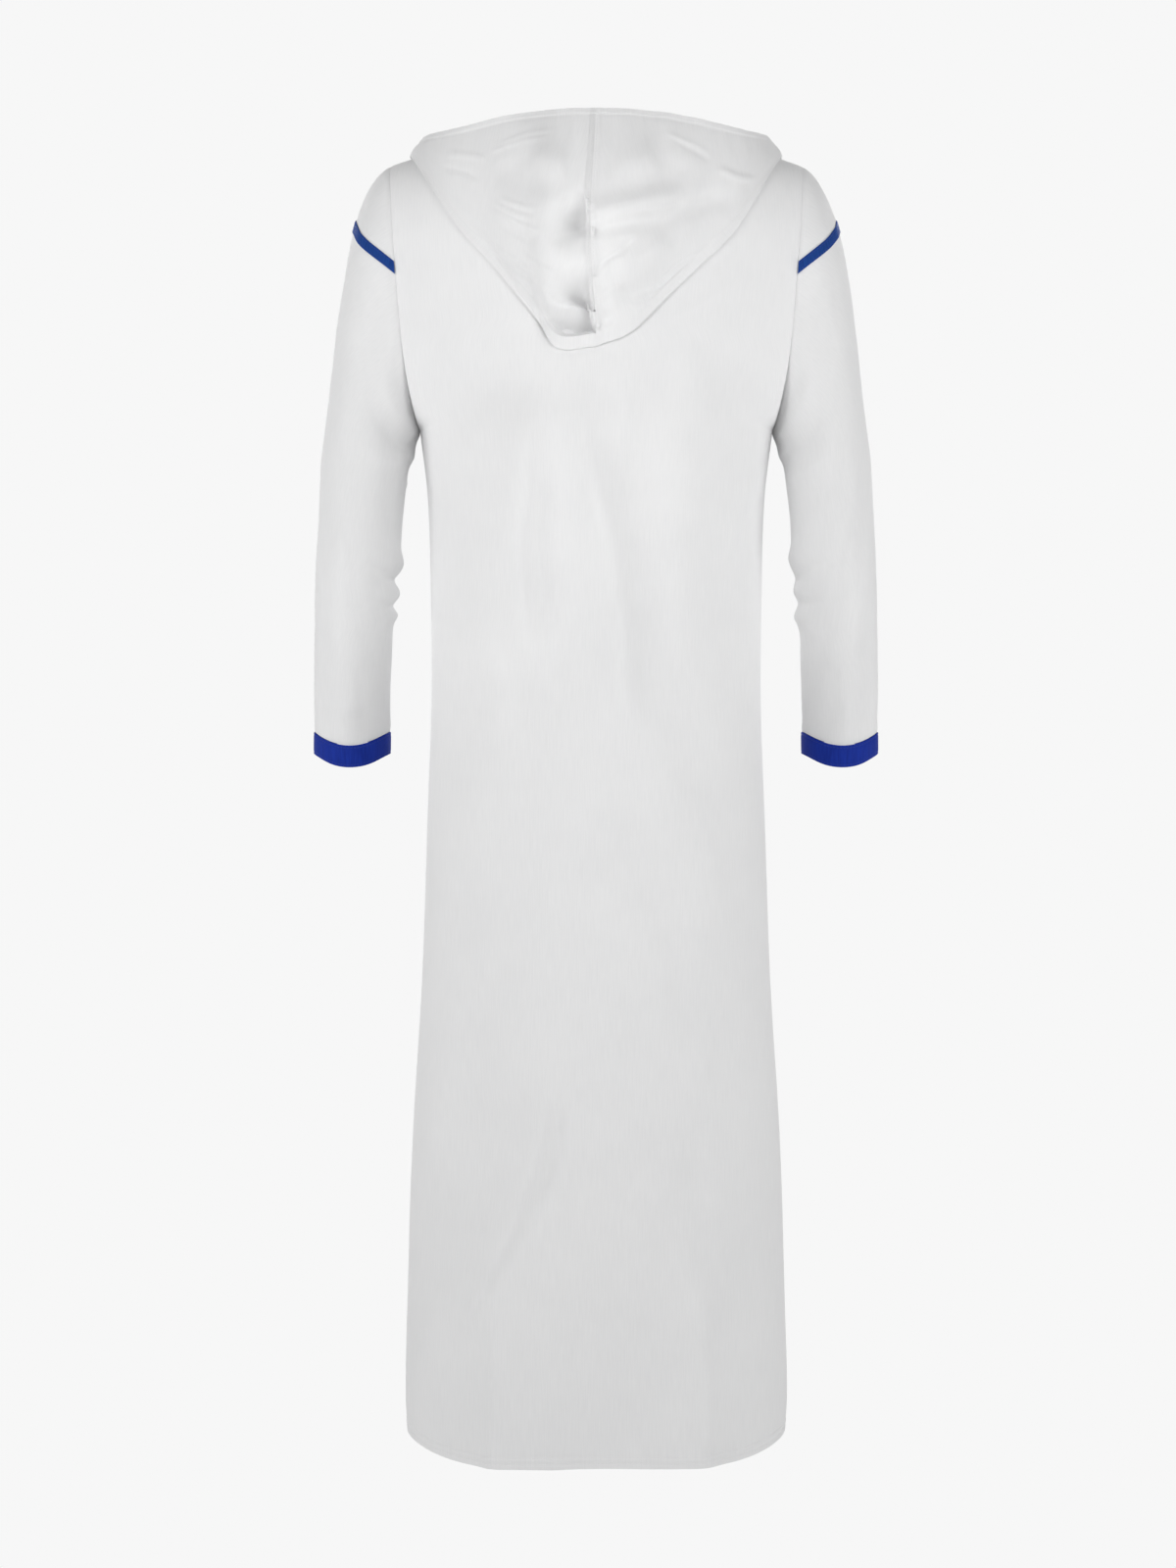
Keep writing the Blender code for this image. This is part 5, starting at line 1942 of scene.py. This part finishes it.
@dataclass
class Studio:
    """A pale round cove with a plain floor, soft lamps and the camera."""

    floor_height: float = -1.62
    radius: float = 6.5
    rounding: float = 1.6
    height: float = 7.0
    segments: int = 64
    tone: float = 0.93
    floor_glow: float = 0.90
    room_glow: float = 0.15
    camera_place: Spot = (0.0083, 3.0, -0.635)
    lens: float = 67.5
    sensor: float = 36.0
    arc_steps: int = 10
    wall_drop: float = 1.5
    dome_share: float = 0.7
    crown_radius: float = 0.02
    crown_rise: float = 0.3
    # Each pair of lamps: their names' start, the left one's place, their target and size, and both powers.
    lamp_pairs: tuple[tuple[str, Spot, Spot, float, Place], ...] = (
        ("back_", (1.25, 1.65, 0.2), (0.0, 0.0, -0.25), 1.0, (15.5, 12.8)),
        ("", (2.55, 1.3, -0.95), (0.0, 0.0, -0.8), 1.6, (24.5, 26.0)),
        ("front_", (0.8, -2.3, 1.0), (0.0, 0.0, -0.3), 1.2, (34.0, 32.0)),
    )

    def cove(self) -> bpy.types.Object:
        """Model the floor and the wall round it by spinning their profile.

        Returns:
            The cove.
        """
        bpy.ops.object.select_all(action="DESELECT")
        bpy.ops.mesh.primitive_circle_add(vertices=self.segments, radius=self.radius - self.rounding,
                                          fill_type="NGON", location=(0.0, 0.0, self.floor_height))
        cove = bpy.context.active_object
        cove.name = "studio_cove"
        bpy.ops.object.mode_set(mode="EDIT")
        bpy.ops.mesh.select_all(action="SELECT")
        reach = self.radius - self.rounding
        rise = 0.0
        steps = [math.pi / 2 * i / self.arc_steps for i in range(1, self.arc_steps + 1)]
        profile = [(reach + self.rounding * math.sin(a), self.rounding * (1.0 - math.cos(a))) for a in steps]
        profile += [(self.radius, self.height - self.wall_drop), (self.radius * self.dome_share, self.height),
                    (self.crown_radius, self.height + self.crown_rise)]
        bpy.ops.mesh.select_mode(type="EDGE")
        bpy.ops.mesh.region_to_loop()
        for out, up in profile:
            bpy.ops.mesh.extrude_edges_move(TRANSFORM_OT_translate={"value": (0.0, 0.0, up - rise)})
            bpy.ops.transform.resize(value=(out / reach, out / reach, 1.0),
                                     center_override=(0.0, 0.0, self.floor_height + up))
            reach, rise = out, up
        bpy.ops.object.mode_set(mode="OBJECT")
        bpy.ops.object.shade_smooth()
        bpy.ops.object.transform_apply(location=True, rotation=True, scale=True)
        nodes = Nodes(bpy.data.materials.new("pale_cove"))
        nodes.feed(nodes.shader, {
            "Base Color": (0.0, 0.0, 0.0, 1.0), "Roughness": 1.0, "Specular IOR Level": 0.0,
            "Emission Color": (self.tone, self.tone, self.tone, 1.0), "Emission Strength": 1.0})
        cove.data.materials.append(nodes.owner)
        cove.visible_diffuse = False
        cove.visible_shadow = False
        return cove

    def light(self) -> None:
        """Set the light that comes up from the pale floor, and hang the lamps."""
        world = bpy.data.worlds.new("soft_daylight")
        nodes = Nodes(world, "Background")
        way = nodes.add("ShaderNodeTexCoord").outputs["Generated"]
        height = nodes.add("ShaderNodeSeparateXYZ", {"Vector": way}).outputs["Z"]
        strength = nodes.add("ShaderNodeMapRange", {"Value": height, "From Min": -1.0, "From Max": 0.0,
                                                    "To Min": self.floor_glow, "To Max": self.room_glow})
        nodes.feed(nodes.shader, {"Color": (1.0, 1.0, 1.0, 1.0), "Strength": strength.outputs["Result"]})
        bpy.context.scene.world = world
        for start, (x, y, z), target, size, powers in self.lamp_pairs:
            for hand, power in zip(Hand, powers):
                SoftLight(f"{start}{hand.word}_lamp", (hand.value * x, y, z), target, size, power).hang()

    def camera(self) -> None:
        """Place the camera level with the middle of the robe, behind it."""
        data = bpy.data.cameras.new("camera")
        data.sensor_fit = "VERTICAL"
        data.sensor_width = self.sensor
        data.sensor_height = self.sensor
        data.lens = self.lens
        camera = link("camera", data)
        camera.location = self.camera_place
        camera.rotation_euler = (math.pi / 2, 0.0, math.pi)
        bpy.context.scene.camera = camera

    def build(self) -> None:
        """Build the whole studio."""
        self.cove()
        self.light()
        self.camera()
        bpy.context.scene.view_settings.view_transform = "Standard"


def main() -> None:
    """Build every piece of the robe in order."""
    logging.basicConfig(level=logging.INFO, format="%(message)s")
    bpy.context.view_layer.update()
    room = Workroom()
    form = BodyForm()
    rim_hem = Hem(width=0.0080, proud=0.0005, rows=(0.0066,))
    for part in (Body(form, Hem()), *(Sleeve(hand, ArmForm(form)) for hand in Hand),
                 Hood(HoodForm(form), rim_hem)):
        for piece in part.build(room):
            LOG.info("%s: %d faces", piece.name, len(piece.data.polygons))
    Studio().build()


if __name__ == "__main__":
    main()
